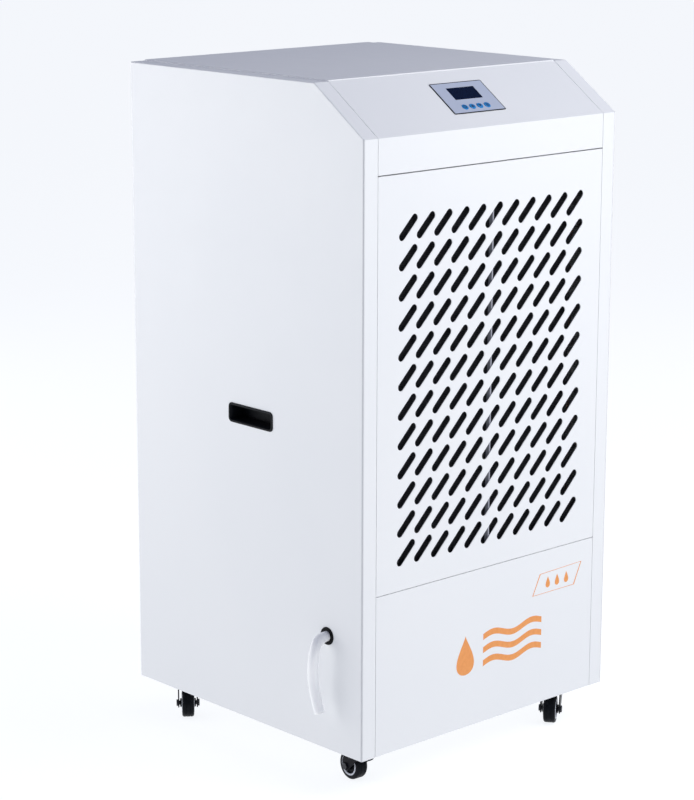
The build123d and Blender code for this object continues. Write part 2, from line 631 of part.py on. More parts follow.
# ================================================================ compressor
PLATE_Z = BASE_Z + 20            # underside of the compressor's foot plate
COMP_FOOT = PLATE_Z + 4
COMP_TOP = COMP_FOOT + 280
COMP_WALL = 13.0                 # thick enough to carry the weight of the motor and pump
OUTLET_R = 3.0
with BuildPart() as compressor:
    with BuildSketch(Plane.XZ.offset(-COMP_Y)):
        with BuildLine():
            Polyline(
                (COMP_X, COMP_FOOT),
                (COMP_X + COMP_R - 25, COMP_FOOT),
                (COMP_X + COMP_R, COMP_FOOT + 18),
                (COMP_X + COMP_R, COMP_TOP - 30),
                (COMP_X + COMP_R - 22, COMP_TOP - 6),
                (COMP_X + 12, COMP_TOP),
                (COMP_X, COMP_TOP),
                close=True,
            )
        make_face()
    revolve(axis=Axis((COMP_X, COMP_Y, 0), (0, 0, 1)))
    with BuildSketch(Plane.XY.offset(PLATE_Z)):
        with Locations((COMP_X, COMP_Y)):
            Circle(COMP_R - COMP_WALL)
        for (x, y), angle in zip(foot_spots, FEET):
            with Locations((x, y)):
                Circle(FOOT_PAD_R)
            with Locations(Location(((COMP_X + x) / 2, (COMP_Y + y) / 2), angle)):
                Rectangle(FOOT_PCR, 2 * FOOT_PAD_R)
        with Locations(*foot_spots):
            Circle(FOOT_BOLT_R + 0.6, mode=Mode.SUBTRACT)
    extrude(amount=COMP_FOOT - PLATE_Z)
    # Inside of the shell, and the outlet in its top.
    with BuildSketch(Plane.XY.offset(COMP_FOOT + COMP_WALL)):
        with Locations((COMP_X, COMP_Y)):
            Circle(COMP_R - COMP_WALL)
    extrude(amount=COMP_TOP - COMP_FOOT - 3 * COMP_WALL, mode=Mode.SUBTRACT)
    with BuildSketch(Plane.XY.offset(COMP_TOP)):
        with Locations((COMP_X, COMP_Y)):
            Circle(OUTLET_R)
    extrude(amount=-3 * COMP_WALL, mode=Mode.SUBTRACT)
compressor.part.label = "compressor"
export_step(compressor.part, "parts/compressor.step")

with BuildPart() as compressor_grommets:
    with BuildSketch(Plane.XY.offset(BASE_Z + HEAVY_SHEET)):
        with Locations(*foot_spots):
            Circle(FOOT_PAD_R - 3)
            Circle(FOOT_BOLT_R + 0.3, mode=Mode.SUBTRACT)
    extrude(amount=PLATE_Z - BASE_Z - HEAVY_SHEET)
compressor_grommets.part.label = "compressor_grommets"
export_step(compressor_grommets.part, "parts/compressor_grommets.step")

NUT_R, NUT_H = 7.0, 4.0
with BuildPart() as compressor_bolts:
    with BuildSketch(Plane.XY.offset(BASE_Z - NUT_H)):
        with Locations(*foot_spots):
            RegularPolygon(NUT_R, 6)
    extrude(amount=NUT_H)
    with BuildSketch(Plane.XY.offset(BASE_Z)):
        with Locations(*foot_spots):
            Circle(FOOT_BOLT_R)
    extrude(amount=COMP_FOOT + 2 * NUT_H - BASE_Z)
    with BuildSketch(Plane.XY.offset(COMP_FOOT)):
        with Locations(*foot_spots):
            RegularPolygon(NUT_R, 6)
    extrude(amount=1.5 * NUT_H)
compressor_bolts.part.label = "compressor_bolts"
export_step(compressor_bolts.part, "parts/compressor_bolts.step")

ACC_X, ACC_FOOT, ACC_TOP, ACC_R = COMP_X + 110.0, 170.0, 350.0, 30.0
ACC_WALL = 3.0
INLET_R, STUB_R = 4.0, 8.0
with BuildPart() as suction_accumulator:
    with BuildSketch(Plane.XY.offset(ACC_FOOT)):
        with Locations((ACC_X, COMP_Y)):
            Circle(ACC_R)
    extrude(amount=ACC_TOP - ACC_FOOT)
    fillet(suction_accumulator.edges().filter_by(GeomType.CIRCLE), 2.5)
    # Short pipe that feeds the compressor shell.
    with BuildSketch(Plane.YZ.offset(COMP_X + COMP_R)):
        with Locations((COMP_Y, ACC_FOOT + 40)):
            Circle(STUB_R)
    extrude(amount=ACC_X - ACC_R - COMP_X - COMP_R + 2)
    with BuildSketch(Plane.XY.offset(ACC_FOOT + ACC_WALL)):
        with Locations((ACC_X, COMP_Y)):
            Circle(ACC_R - ACC_WALL)
    extrude(amount=ACC_TOP - ACC_FOOT - 2 * ACC_WALL, mode=Mode.SUBTRACT)
    with BuildSketch(Plane.XY.offset(ACC_TOP)):
        with Locations((ACC_X, COMP_Y)):
            Circle(INLET_R)
    extrude(amount=-2 * ACC_WALL, mode=Mode.SUBTRACT)
suction_accumulator.part.label = "suction_accumulator"
export_step(suction_accumulator.part, "parts/suction_accumulator.step")

# ================================================================ refrigerant pipes
COIL_END_X = COIL_X + 10
TOP_PASS = pass_spots[-1]
SUCTION_X, SUCTION_Y, SUCTION_Z = 280.0, -95.0, 440.0   # its riser and its level run
DISCHARGE_X, DISCHARGE_Y, DISCHARGE_Z = 265.0, 70.0, 480.0
OVER_COIL_Z = TOP_PASS + 45
SUCTION_PIPE_R, DISCHARGE_PIPE_R, LIQUID_PIPE_R, CAPILLARY_R = 6.0, 4.5, 4.0, 2.5
SUCTION_BEND, DISCHARGE_BEND, CAPILLARY_BEND = 20.0, 14.0, 12.0
with BuildPart() as suction_pipe:
    lay_tube(
        [
            (COIL_END_X, EVAPORATOR_Y, TOP_PASS),
            (SUCTION_X, EVAPORATOR_Y, TOP_PASS),
            (SUCTION_X, SUCTION_Y, TOP_PASS),
            (SUCTION_X, SUCTION_Y, SUCTION_Z),
            (ACC_X, COMP_Y, SUCTION_Z),
            (ACC_X, COMP_Y, ACC_TOP),
        ],
        SUCTION_BEND,
        SUCTION_PIPE_R,
    )
suction_pipe.part.label = "suction_pipe"
export_step(suction_pipe.part, "parts/suction_pipe.step")

with BuildPart() as discharge_pipe:
    lay_tube(
        [
            (COMP_X, COMP_Y, COMP_TOP),
            (COMP_X, COMP_Y, DISCHARGE_Z),
            (DISCHARGE_X, DISCHARGE_Y, DISCHARGE_Z),
            (DISCHARGE_X, DISCHARGE_Y, OVER_COIL_Z),
            (DISCHARGE_X, CONDENSER_Y, OVER_COIL_Z),
            (DISCHARGE_X, CONDENSER_Y, TOP_PASS),
            (COIL_END_X, CONDENSER_Y, TOP_PASS),
        ],
        DISCHARGE_BEND,
        DISCHARGE_PIPE_R,
    )
discharge_pipe.part.label = "discharge_pipe"
export_step(discharge_pipe.part, "parts/discharge_pipe.step")

DRIER_X, DRIER_TOP, DRIER_FOOT, DRIER_R = 276.0, 325.0, 235.0, 11.0
CAPILLARY_Z = 205.0
with BuildPart() as filter_drier:
    with BuildSketch(Plane.XZ.offset(-CONDENSER_Y)):
        with BuildLine():
            Polyline(
                (DRIER_X, DRIER_FOOT),
                (DRIER_X + 4, DRIER_FOOT),
                (DRIER_X + DRIER_R, DRIER_FOOT + 14),
                (DRIER_X + DRIER_R, DRIER_TOP - 14),
                (DRIER_X + 5, DRIER_TOP),
                (DRIER_X, DRIER_TOP),
                close=True,
            )
        make_face()
    revolve(axis=Axis((DRIER_X, CONDENSER_Y, 0), (0, 0, 1)))
filter_drier.part.label = "filter_drier"
export_step(filter_drier.part, "parts/filter_drier.step")

# Liquid line to the drier and the thin line from it to the evaporator.
with BuildPart() as liquid_line:
    lay_tube(
        [
            (COIL_END_X, CONDENSER_Y, TUBE_FOOT),
            (DRIER_X, CONDENSER_Y, TUBE_FOOT),
            (DRIER_X, CONDENSER_Y, DRIER_TOP),
        ],
        DISCHARGE_BEND,
        LIQUID_PIPE_R,
    )
    lay_tube(
        [
            (DRIER_X, CONDENSER_Y, DRIER_FOOT),
            (DRIER_X, CONDENSER_Y, CAPILLARY_Z),
            (DRIER_X, EVAPORATOR_Y, CAPILLARY_Z),
            (DRIER_X, EVAPORATOR_Y, TUBE_FOOT),
            (COIL_END_X, EVAPORATOR_Y, TUBE_FOOT),
        ],
        CAPILLARY_BEND,
        CAPILLARY_R,
    )
liquid_line.part.label = "liquid_line"
export_step(liquid_line.part, "parts/liquid_line.step")

# ================================================================ fan
SHROUD_Y = 200.0
SHROUD_X = HALF_W - SHEET - 0.4
SHROUD_H = 450.0
RING_DEPTH = 62.0
SHROUD_FLANGE = 16.0
with BuildPart() as fan_shroud:
    with BuildSketch(Plane.XZ.offset(-SHROUD_Y)):
        with Locations((0, FAN_Z)):
            Rectangle(2 * SHROUD_X, SHROUD_H)
            Circle(RING_R, mode=Mode.SUBTRACT)
    extrude(amount=-SHEET)
    with BuildSketch(Plane.XZ.offset(-SHROUD_Y)):
        with Locations((0, FAN_Z)):
            Circle(RING_R + SHEET)
            Circle(RING_R, mode=Mode.SUBTRACT)
        for sign in (-1, 1):
            with Locations((sign * (SHROUD_X - SHEET / 2), FAN_Z)):
                Rectangle(SHEET, SHROUD_H)
    extrude(amount=-RING_DEPTH)
    with BuildSketch(Plane.XZ.offset(-SHROUD_Y - SHROUD_FLANGE)):
        for sign in (-1, 1):
            with Locations((sign * (SHROUD_X - SHEET / 2), FAN_Z)):
                Rectangle(SHEET, SHROUD_H)
    extrude(amount=-RING_DEPTH, mode=Mode.SUBTRACT)
fan_shroud.part.label = "fan_shroud"
export_step(fan_shroud.part, "parts/fan_shroud.step")

# Flat spider that carries the motor in front of the ring.
SPIDER_T = 3.0
SPIDER_R, SPIDER_HOLE_R = 56.0, 24.0
SPIDER_ARM_W = 24.0
SHAFT_R = 5.0
with BuildPart() as motor_bracket:
    with BuildSketch(Plane.XZ.offset(-SHROUD_Y)):
        with Locations((0, FAN_Z)):
            Circle(SPIDER_R)
            Rectangle(2 * (RING_R + 18), SPIDER_ARM_W, rotation=45)
            Rectangle(2 * (RING_R + 18), SPIDER_ARM_W, rotation=-45)
            Circle(SPIDER_HOLE_R, mode=Mode.SUBTRACT)
    extrude(amount=SPIDER_T)
motor_bracket.part.label = "motor_bracket"
export_step(motor_bracket.part, "parts/motor_bracket.step")

MOTOR_BACK = SHROUD_Y - SPIDER_T
MOTOR_L, MOTOR_R = 82.0, 48.0
MOTOR_BOSS_R = 20.0
SHAFT_IN = 40.0                  # depth of the shaft's bore in the motor
with BuildPart() as fan_motor:
    with BuildSketch(Plane.XZ.offset(-MOTOR_BACK)):
        with Locations((0, FAN_Z)):
            Circle(MOTOR_R)
    extrude(amount=MOTOR_L)
    fillet(fan_motor.edges().filter_by(GeomType.CIRCLE), 6)
    with BuildSketch(Plane.XZ.offset(-MOTOR_BACK)):
        with Locations((0, FAN_Z)):
            Circle(MOTOR_BOSS_R)
    extrude(amount=-SPIDER_T)
    with BuildSketch(Plane.XZ.offset(-SHROUD_Y)):
        with Locations((0, FAN_Z)):
            Circle(SHAFT_R + RUNNING)
    extrude(amount=SHAFT_IN, mode=Mode.SUBTRACT)
fan_motor.part.label = "fan_motor"
export_step(fan_motor.part, "parts/fan_motor.step")

HUB_R, HUB_FRONT, HUB_BACK = 38.0, 206.0, 258.0
SHAFT_FRONT = SHROUD_Y - SHAFT_IN + 1
with BuildPart() as fan_shaft:
    with BuildSketch(Plane.XZ.offset(-SHAFT_FRONT)):
        with Locations((0, FAN_Z)):
            Circle(SHAFT_R)
    extrude(amount=SHAFT_FRONT - HUB_BACK - 8)
fan_shaft.part.label = "fan_shaft"
export_step(fan_shaft.part, "parts/fan_shaft.step")

# Five pitched blades on a hub.
BLADES = 5
BLADE_T = 3.0
BLADE_PITCH = 26.0
ROOT_CHORD, TIP_CHORD = 56.0, 96.0
with BuildPart() as fan_blade:
    with BuildSketch(Plane.XZ.offset(-HUB_FRONT)):
        with Locations((0, FAN_Z)):
            Circle(HUB_R)
    extrude(amount=HUB_FRONT - HUB_BACK)
    for index in range(BLADES):
        spoke = Vector(1, 0, 0).rotate(Axis.Y, index * 360 / BLADES)
        across = spoke.cross(Vector(0, 1, 0)).rotate(Axis((0, 0, 0), spoke), BLADE_PITCH)
        root = Vector(0, (HUB_FRONT + HUB_BACK) / 2, FAN_Z) + spoke * (HUB_R - 4)
        with BuildSketch(Plane(origin=root, x_dir=across, z_dir=spoke)):
            RectangleRounded(ROOT_CHORD, BLADE_T, 1.2)
        with BuildSketch(
            Plane(origin=root + spoke * (FAN_R - HUB_R + 12), x_dir=across, z_dir=spoke)
        ):
            RectangleRounded(TIP_CHORD, BLADE_T, 1.2)
        loft()
    with BuildSketch(Plane.XZ.offset(-HUB_FRONT)):
        with Locations((0, FAN_Z)):
            Circle(FAN_R)
    extrude(amount=HUB_FRONT - HUB_BACK, mode=Mode.INTERSECT)
    with BuildSketch(Plane.XZ.offset(-HUB_FRONT)):
        with Locations((0, FAN_Z)):
            Circle(SHAFT_R)
    extrude(amount=HUB_FRONT - HUB_BACK, mode=Mode.SUBTRACT)
fan_blade.part.label = "fan_blade"
export_step(fan_blade.part, "parts/fan_blade.step")

# ================================================================ electrical box
BOX_X0, BOX_X1, BOX_Y0, BOX_Y1 = SHEET - HALF_W, -150.0, 50.0, 260.0
BOX_FOOT, BOX_TOP = 130.0, 370.0
box_middle = ((BOX_X0 + BOX_X1) / 2, (BOX_Y0 + BOX_Y1) / 2)
with BuildPart() as control_box:
    with BuildSketch(Plane.XY.offset(BOX_FOOT)):
        with Locations(box_middle):
            Rectangle(BOX_X1 - BOX_X0, BOX_Y1 - BOX_Y0)
    extrude(amount=BOX_TOP - BOX_FOOT)
    box_side = control_box.faces().sort_by(Axis.X)[-1]
    offset(amount=-SHEET, openings=box_side)
control_box.part.label = "control_box"
export_step(control_box.part, "parts/control_box.step")

with BuildPart() as control_box_cover:
    with BuildSketch(Plane.YZ.offset(BOX_X1)):
        with Locations((box_middle[1], (BOX_FOOT + BOX_TOP) / 2)):
            Rectangle(BOX_Y1 - BOX_Y0, BOX_TOP - BOX_FOOT)
    extrude(amount=SHEET)
control_box_cover.part.label = "control_box_cover"
export_step(control_box_cover.part, "parts/control_box_cover.step")

# ================================================================ air filter
FILTER_BACK_Y = FRONT_Y + SHEET + 9
FILTER_X, FILTER_FOOT, FILTER_TOP = 245.0, 376.0, 1010.0
FILTER_MID_Z = (FILTER_FOOT + FILTER_TOP) / 2
BAR, MIDDLE_BAR = 12.0, 3.0
FILTER_T, NET_T = 8.0, 0.8
with BuildPart() as filter_frame:
    with BuildSketch(Plane.XZ.offset(-FILTER_BACK_Y)):
        with Locations((0, FILTER_MID_Z)):
            Rectangle(2 * FILTER_X, FILTER_TOP - FILTER_FOOT)
            Rectangle(2 * (FILTER_X - BAR), FILTER_TOP - FILTER_FOOT - 2 * BAR, mode=Mode.SUBTRACT)
            Rectangle(MIDDLE_BAR, FILTER_TOP - FILTER_FOOT - BAR)
    extrude(amount=FILTER_T)
filter_frame.part.label = "filter_frame"
export_step(filter_frame.part, "parts/filter_frame.step")

# Fine net, clipped to the back of the frame.
with BuildPart() as filter_mesh:
    with BuildSketch(Plane.XZ.offset(-FILTER_BACK_Y)):
        with Locations((0, FILTER_MID_Z)):
            Rectangle(2 * FILTER_X - BAR + 4, FILTER_TOP - FILTER_FOOT - BAR + 4)
    extrude(amount=-NET_T)
filter_mesh.part.label = "filter_mesh"
export_step(filter_mesh.part, "parts/filter_mesh.step")

# ================================================================ casters
PLATE_W, PLATE_T = 60.0, 2.5
RACE_R, RACE_FOOT = 15.0, BASE_Z - 9.5
HORN_TOP, HORN_FOOT = BASE_Z - 10, BASE_Z - 15
PIN_R, PIN_FOOT = 5.0, BASE_Z - 18.5
PIN_HEAD_R = 8.5
HEX_R, HEX_H = 5.5, 4.0
with BuildPart() as caster_plates:
    with BuildSketch(Plane.XY.offset(BASE_Z - PLATE_T)):
        with Locations(*caster_axes):
            RectangleRounded(PLATE_W, PLATE_W, 5)
        with Locations(*bolt_spots):
            Circle(CASTER_BOLT_R + 0.3, mode=Mode.SUBTRACT)
    extrude(amount=PLATE_T)
    with BuildSketch(Plane.XY.offset(RACE_FOOT)):
        with Locations(*caster_axes):
            Circle(RACE_R)
    extrude(amount=BASE_Z - PLATE_T - RACE_FOOT)
    with BuildSketch(Plane.XY.offset(PIN_FOOT)):
        with Locations(*caster_axes):
            Circle(PIN_R)
    extrude(amount=RACE_FOOT - PIN_FOOT)
    with BuildSketch(Plane.XY.offset(PIN_FOOT)):
        with Locations(*caster_axes):
            Circle(PIN_HEAD_R)
    extrude(amount=HORN_FOOT - 0.5 - PIN_FOOT)
caster_plates.part.label = "caster_plates"
export_step(caster_plates.part, "parts/caster_plates.step")

with BuildPart() as caster_bolts:
    with BuildSketch(Plane.XY.offset(BASE_Z - PLATE_T - HEX_H)):
        with Locations(*bolt_spots):
            RegularPolygon(HEX_R, 6)
    extrude(amount=HEX_H)
    with BuildSketch(Plane.XY.offset(BASE_Z - PLATE_T)):
        with Locations(*bolt_spots):
            Circle(CASTER_BOLT_R)
    extrude(amount=PLATE_T + HEAVY_SHEET + 2 * HEX_H)
    with BuildSketch(Plane.XY.offset(BASE_Z + HEAVY_SHEET)):
        with Locations(*bolt_spots):
            RegularPolygon(HEX_R, 6)
    extrude(amount=1.25 * HEX_H)
caster_bolts.part.label = "caster_bolts"
export_step(caster_bolts.part, "parts/caster_bolts.step")

FORK_IN, FORK_T = 16.0, 2.2
HEAD_R, HEAD_T = 6.0, 3.0
HUB_HALF, HUB_R_OUT = 14.5, 8.0
CROWN_WALL = 3.0
CHEEK_REACH = 20.0              # how far the crown's flat cheeks come over the wheel
SKIRT_FOOT = HORN_FOOT - 17      # the crown's rear skirt, clear of the wheel
LEG_HALF, LEG_BACK = 9.0, 4.0     # the legs' half width at the axle, reach behind the kingpin
SKIRT_REACH = 4.0                # how far the skirt comes forward past the kingpin
RECESS_HALF, RECESS_R = 7.5, 16.0
TREAD_BASE_R = 18.0
SHOULDER = 3.0                   # rounding of the tread's edges
round_in = SHOULDER * (1 - cos(pi / 4))
leg_out = FORK_IN + FORK_T
for corner, (sx, sy, heading) in CASTERS.items():
    ahead = Vector(cos(radians(heading)), sin(radians(heading)), 0)
    aside = Vector(-ahead.Y, ahead.X, 0)
    pivot = Vector(sx * CASTER_X, sy * CASTER_Y, 0)
    hub = pivot + ahead * TRAIL + Vector(0, 0, WHEEL_R)

    # Pressed fork: a round crown on the kingpin, a skirt behind it and two tapering legs.
    with BuildPart() as fork:
        with BuildSketch(Plane(origin=pivot + Vector(0, 0, HORN_FOOT), x_dir=ahead, z_dir=(0, 0, 1))):
            Circle(leg_out)
            with Locations((CHEEK_REACH / 2, 0)):
                Rectangle(CHEEK_REACH, 2 * leg_out)
        extrude(amount=HORN_TOP - HORN_FOOT)
        with BuildSketch(Plane(origin=pivot + Vector(0, 0, SKIRT_FOOT), x_dir=ahead, z_dir=(0, 0, 1))):
            Circle(leg_out)
            Circle(leg_out - CROWN_WALL, mode=Mode.SUBTRACT)
            with Locations((SKIRT_REACH, 0)):
                Rectangle(leg_out, 3 * leg_out, align=(Align.MIN, Align.CENTER), mode=Mode.SUBTRACT)
        extrude(amount=HORN_FOOT - SKIRT_FOOT)
        for flip in (-1, 1):
            start = pivot + aside * (flip * FORK_IN)
            with BuildSketch(Plane(origin=start, x_dir=-ahead, z_dir=aside)):
                with BuildLine():
                    Polyline(
                        (LEG_BACK, HORN_TOP),
                        (-CHEEK_REACH, HORN_TOP),
                        (-TRAIL - LEG_HALF, WHEEL_R + LEG_HALF),
                        (-TRAIL - LEG_HALF, WHEEL_R - LEG_HALF / 3),
                        (-TRAIL - LEG_HALF / 2, WHEEL_R - LEG_HALF + 1),
                        (-TRAIL + LEG_HALF / 2, WHEEL_R - LEG_HALF + 1),
                        (-TRAIL + LEG_HALF, WHEEL_R - LEG_HALF / 3),
                        (LEG_BACK, SKIRT_FOOT),
                        close=True,
                    )
                make_face()
                with Locations((-TRAIL, WHEEL_R)):
                    Circle(AXLE_R + 0.1, mode=Mode.SUBTRACT)
            extrude(amount=flip * FORK_T)
        with BuildSketch(Plane(origin=pivot, x_dir=ahead, z_dir=(0, 0, 1))):
            Circle(PIN_R + RUNNING)
        extrude(amount=HORN_TOP + 1, mode=Mode.SUBTRACT)
    fork.part.label = f"caster_fork_{corner}"
    export_step(fork.part, f"parts/caster_fork_{corner}.step")

    # Axle bolt with a head at one end and a nut at the other.
    with BuildPart() as axle:
        with BuildSketch(Plane(origin=hub - aside * (leg_out + HEAD_T), x_dir=ahead, z_dir=aside)):
            Circle(HEAD_R)
        extrude(amount=HEAD_T)
        with BuildSketch(Plane(origin=hub - aside * leg_out, x_dir=ahead, z_dir=aside)):
            Circle(AXLE_R)
        extrude(amount=2 * leg_out)
        with BuildSketch(Plane(origin=hub + aside * leg_out, x_dir=ahead, z_dir=aside)):
            RegularPolygon(HEAD_R + 0.4, 6)
        extrude(amount=HEAD_T)
    axle.part.label = f"caster_axle_{corner}"
    export_step(axle.part, f"parts/caster_axle_{corner}.step")

    # Wheel: rounded tread, a recess in each face and a boss on the axle.
    with BuildPart() as wheel:
        with BuildSketch(Plane(origin=hub, x_dir=aside, z_dir=ahead)):
            with BuildLine():
                Polyline(
                    (-HUB_HALF, AXLE_R + RUNNING),
                    (-HUB_HALF, HUB_R_OUT),
                    (-RECESS_HALF, HUB_R_OUT),
                    (-RECESS_HALF, RECESS_R),
                    (-TREAD_W / 2, TREAD_BASE_R),
                    (-TREAD_W / 2, WHEEL_R - SHOULDER),
                )
                ThreePointArc(
                    (-TREAD_W / 2, WHEEL_R - SHOULDER),
                    (-TREAD_W / 2 + round_in, WHEEL_R - round_in),
                    (-TREAD_W / 2 + SHOULDER, WHEEL_R),
                )
                Line((-TREAD_W / 2 + SHOULDER, WHEEL_R), (TREAD_W / 2 - SHOULDER, WHEEL_R))
                ThreePointArc(
                    (TREAD_W / 2 - SHOULDER, WHEEL_R),
                    (TREAD_W / 2 - round_in, WHEEL_R - round_in),
                    (TREAD_W / 2, WHEEL_R - SHOULDER),
                )
                Polyline(
                    (TREAD_W / 2, WHEEL_R - SHOULDER),
                    (TREAD_W / 2, TREAD_BASE_R),
                    (RECESS_HALF, RECESS_R),
                    (RECESS_HALF, HUB_R_OUT),
                    (HUB_HALF, HUB_R_OUT),
                    (HUB_HALF, AXLE_R + RUNNING),
                    (-HUB_HALF, AXLE_R + RUNNING),
                )
            make_face()
        revolve(axis=Axis(hub, aside))
    wheel.part.label = f"caster_wheel_{corner}"
    export_step(wheel.part, f"parts/caster_wheel_{corner}.step")
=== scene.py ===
"""Looks of the wheeled dehumidifier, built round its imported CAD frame. Metres, +Z up."""
import json
import math

import bmesh
import bpy
from mathutils import Matrix, Vector


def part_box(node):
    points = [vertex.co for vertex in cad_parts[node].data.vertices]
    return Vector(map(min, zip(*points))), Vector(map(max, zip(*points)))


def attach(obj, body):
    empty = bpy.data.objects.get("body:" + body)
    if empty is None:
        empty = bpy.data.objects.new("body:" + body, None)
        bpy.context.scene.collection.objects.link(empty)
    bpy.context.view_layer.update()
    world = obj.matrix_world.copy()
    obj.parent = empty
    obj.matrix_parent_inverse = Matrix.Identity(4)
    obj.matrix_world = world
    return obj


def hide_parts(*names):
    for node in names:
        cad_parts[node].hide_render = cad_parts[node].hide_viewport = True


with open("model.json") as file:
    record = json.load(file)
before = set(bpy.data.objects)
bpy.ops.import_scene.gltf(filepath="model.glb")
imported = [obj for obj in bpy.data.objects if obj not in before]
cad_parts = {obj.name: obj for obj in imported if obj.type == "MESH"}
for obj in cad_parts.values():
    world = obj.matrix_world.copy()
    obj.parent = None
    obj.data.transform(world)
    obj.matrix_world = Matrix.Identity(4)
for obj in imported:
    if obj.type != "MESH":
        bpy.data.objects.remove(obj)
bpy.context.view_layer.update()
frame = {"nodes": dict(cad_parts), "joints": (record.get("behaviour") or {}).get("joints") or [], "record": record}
NODES = frame["nodes"]
JOINTS = {joint["name"]: joint for joint in frame["joints"]}
MM = 0.001

# ---------------------------------------------------------------- camera
CAMERA_AT = (-2.9928, -3.1773, 1.6098)
CAMERA_AZIMUTH = -42.728       # degrees round the object, 0 looks along +Y
CAMERA_ELEVATION = 13.081
CAMERA_ROLL = 0.13
CAMERA_LENS = 112.3


def make_camera():
    data = bpy.data.cameras.new("camera")
    data.lens = CAMERA_LENS
    data.sensor_width = 36.0
    data.clip_end = 60.0
    camera = bpy.data.objects.new("camera", data)
    turn = Matrix.Rotation(math.radians(CAMERA_AZIMUTH), 4, "Z")
    tilt = Matrix.Rotation(math.radians(90 - CAMERA_ELEVATION), 4, "X")
    roll = Matrix.Rotation(math.radians(CAMERA_ROLL), 4, "Z")
    camera.matrix_world = Matrix.Translation(CAMERA_AT) @ turn @ tilt @ roll
    bpy.context.scene.collection.objects.link(camera)
    bpy.context.scene.camera = camera


make_camera()

# ---------------------------------------------------------------- materials
FINE = 700.0                  # texture scales are per metre
MIX_A, MIX_B, MIX_RESULT = 6, 7, 2    # a Mix node's colour sockets


class Shader:
    """One procedural material, with a Principled surface in object space."""

    def __init__(self, name, base, roughness, metallic=0.0):
        self.material = bpy.data.materials.new(name)
        self.material.use_nodes = True
        self.nodes = self.material.node_tree.nodes
        self.links = self.material.node_tree.links
        self.surface = self.nodes["Principled BSDF"]
        self.base = base
        self.roughness = roughness
        self.surface.inputs["Base Color"].default_value = (*base, 1.0)
        self.surface.inputs["Roughness"].default_value = roughness
        self.surface.inputs["Metallic"].default_value = metallic
        self.place = self.nodes.new("ShaderNodeTexCoord").outputs["Object"]

    def stretched(self, scale):
        """Object coordinates scaled by a different amount along each axis."""
        node = self.nodes.new("ShaderNodeMapping")
        node.inputs["Scale"].default_value = scale
        self.links.new(self.place, node.inputs["Vector"])
        return node.outputs["Vector"]

    def noise(self, scale, detail=3.0, along=None):
        node = self.nodes.new("ShaderNodeTexNoise")
        node.inputs["Scale"].default_value = scale
        node.inputs["Detail"].default_value = detail
        self.links.new(along or self.place, node.inputs["Vector"])
        return node.outputs["Fac"]

    def cells(self, scale, feature="F1", output="Distance"):
        node = self.nodes.new("ShaderNodeTexVoronoi")
        node.feature = feature
        node.inputs["Scale"].default_value = scale
        self.links.new(self.place, node.inputs["Vector"])
        return node.outputs[output]

    def ranged(self, value, low, high, to_low, to_high):
        node = self.nodes.new("ShaderNodeMapRange")
        node.inputs["From Min"].default_value = low
        node.inputs["From Max"].default_value = high
        node.inputs["To Min"].default_value = to_low
        node.inputs["To Max"].default_value = to_high
        self.links.new(value, node.inputs["Value"])
        return node.outputs["Result"]

    def tinted(self, value, other, low=0.35, high=0.65):
        """Base colour turns from the base to other as value goes from low to high."""
        node = self.nodes.new("ShaderNodeValToRGB")
        node.color_ramp.elements[0].position = low
        node.color_ramp.elements[0].color = (*self.base, 1.0)
        node.color_ramp.elements[1].position = high
        node.color_ramp.elements[1].color = (*other, 1.0)
        self.links.new(value, node.inputs["Fac"])
        self.links.new(node.outputs["Color"], self.surface.inputs["Base Color"])
        return self

    def near_upright_edge(self, half, inner, outer):
        """1 within inner of the cabinet's four upright edges, 0 beyond outer."""
        steps = []
        for operation, other in (("ABSOLUTE", None), ("MULTIPLY", (1.0, 1.0, 0.0)),
                                 ("DISTANCE", (half, half, 0.0))):
            node = self.nodes.new("ShaderNodeVectorMath")
            node.operation = operation
            self.links.new(steps[-1].outputs[0] if steps else self.place, node.inputs[0])
            if other:
                node.inputs[1].default_value = other
            steps.append(node)
        return self.ranged(steps[-1].outputs["Value"], inner, outer, 1.0, 0.0)

    def painted_shade(self, mask, level):
        """Painted shade: the base colour falls to level times itself where mask is 1."""
        node = self.nodes.new("ShaderNodeMix")
        node.data_type = "RGBA"
        node.blend_type = "MULTIPLY"
        colour = self.surface.inputs["Base Color"]
        self.links.new(mask, node.inputs["Factor"])
        self.links.new(colour.links[0].from_socket, node.inputs[MIX_A])
        node.inputs[MIX_B].default_value = (level, level, level * 1.02, 1.0)
        self.links.new(node.outputs[MIX_RESULT], colour)

    def varied(self, value, swing):
        """Roughness swings round its middle value."""
        result = self.ranged(value, 0.3, 0.7, self.roughness - swing, self.roughness + swing)
        self.links.new(result, self.surface.inputs["Roughness"])
        return self

    def bumped(self, value, depth_mm, strength=0.6):
        node = self.nodes.new("ShaderNodeBump")
        node.inputs["Strength"].default_value = strength
        node.inputs["Distance"].default_value = depth_mm * MM
        self.links.new(value, node.inputs["Height"])
        self.links.new(node.outputs["Normal"], self.surface.inputs["Normal"])
        return self

    def set(self, **values):
        for name, value in values.items():
            self.surface.inputs[name.replace("_", " ")].default_value = value
        return self


# Painted shade: the paint is darker round the cabinet's four upright bends, standing in for the shade on the
# rounded bends.
EDGE_AT = 0.2995              # the bends' X and Y, either side of the middle
BEND_SHADE_CORE = 0.0016            # full painted shade within this of the bend
BEND_SHADE_FADE = 0.0026            # plain paint beyond this
BEND_SHADE_LEVEL = 0.74             # the painted shade's share of the plain colour


def white_paint():
    """Satin powder coat with a fine orange peel, with painted shade along the upright bends."""
    shader = Shader("white_powder_coat", (0.835, 0.845, 0.853), 0.38)
    shader.tinted(shader.noise(2.3, 2.0), (0.815, 0.828, 0.840))
    # Painted shade along the upright bends: a darker band in the paint standing in for the bends' shade.
    shader.painted_shade(shader.near_upright_edge(EDGE_AT, BEND_SHADE_CORE, BEND_SHADE_FADE), BEND_SHADE_LEVEL)
    shader.varied(shader.noise(38.0), 0.05)
    shader.bumped(shader.noise(FINE, 2.0), 0.05, 0.25)
    return shader.material


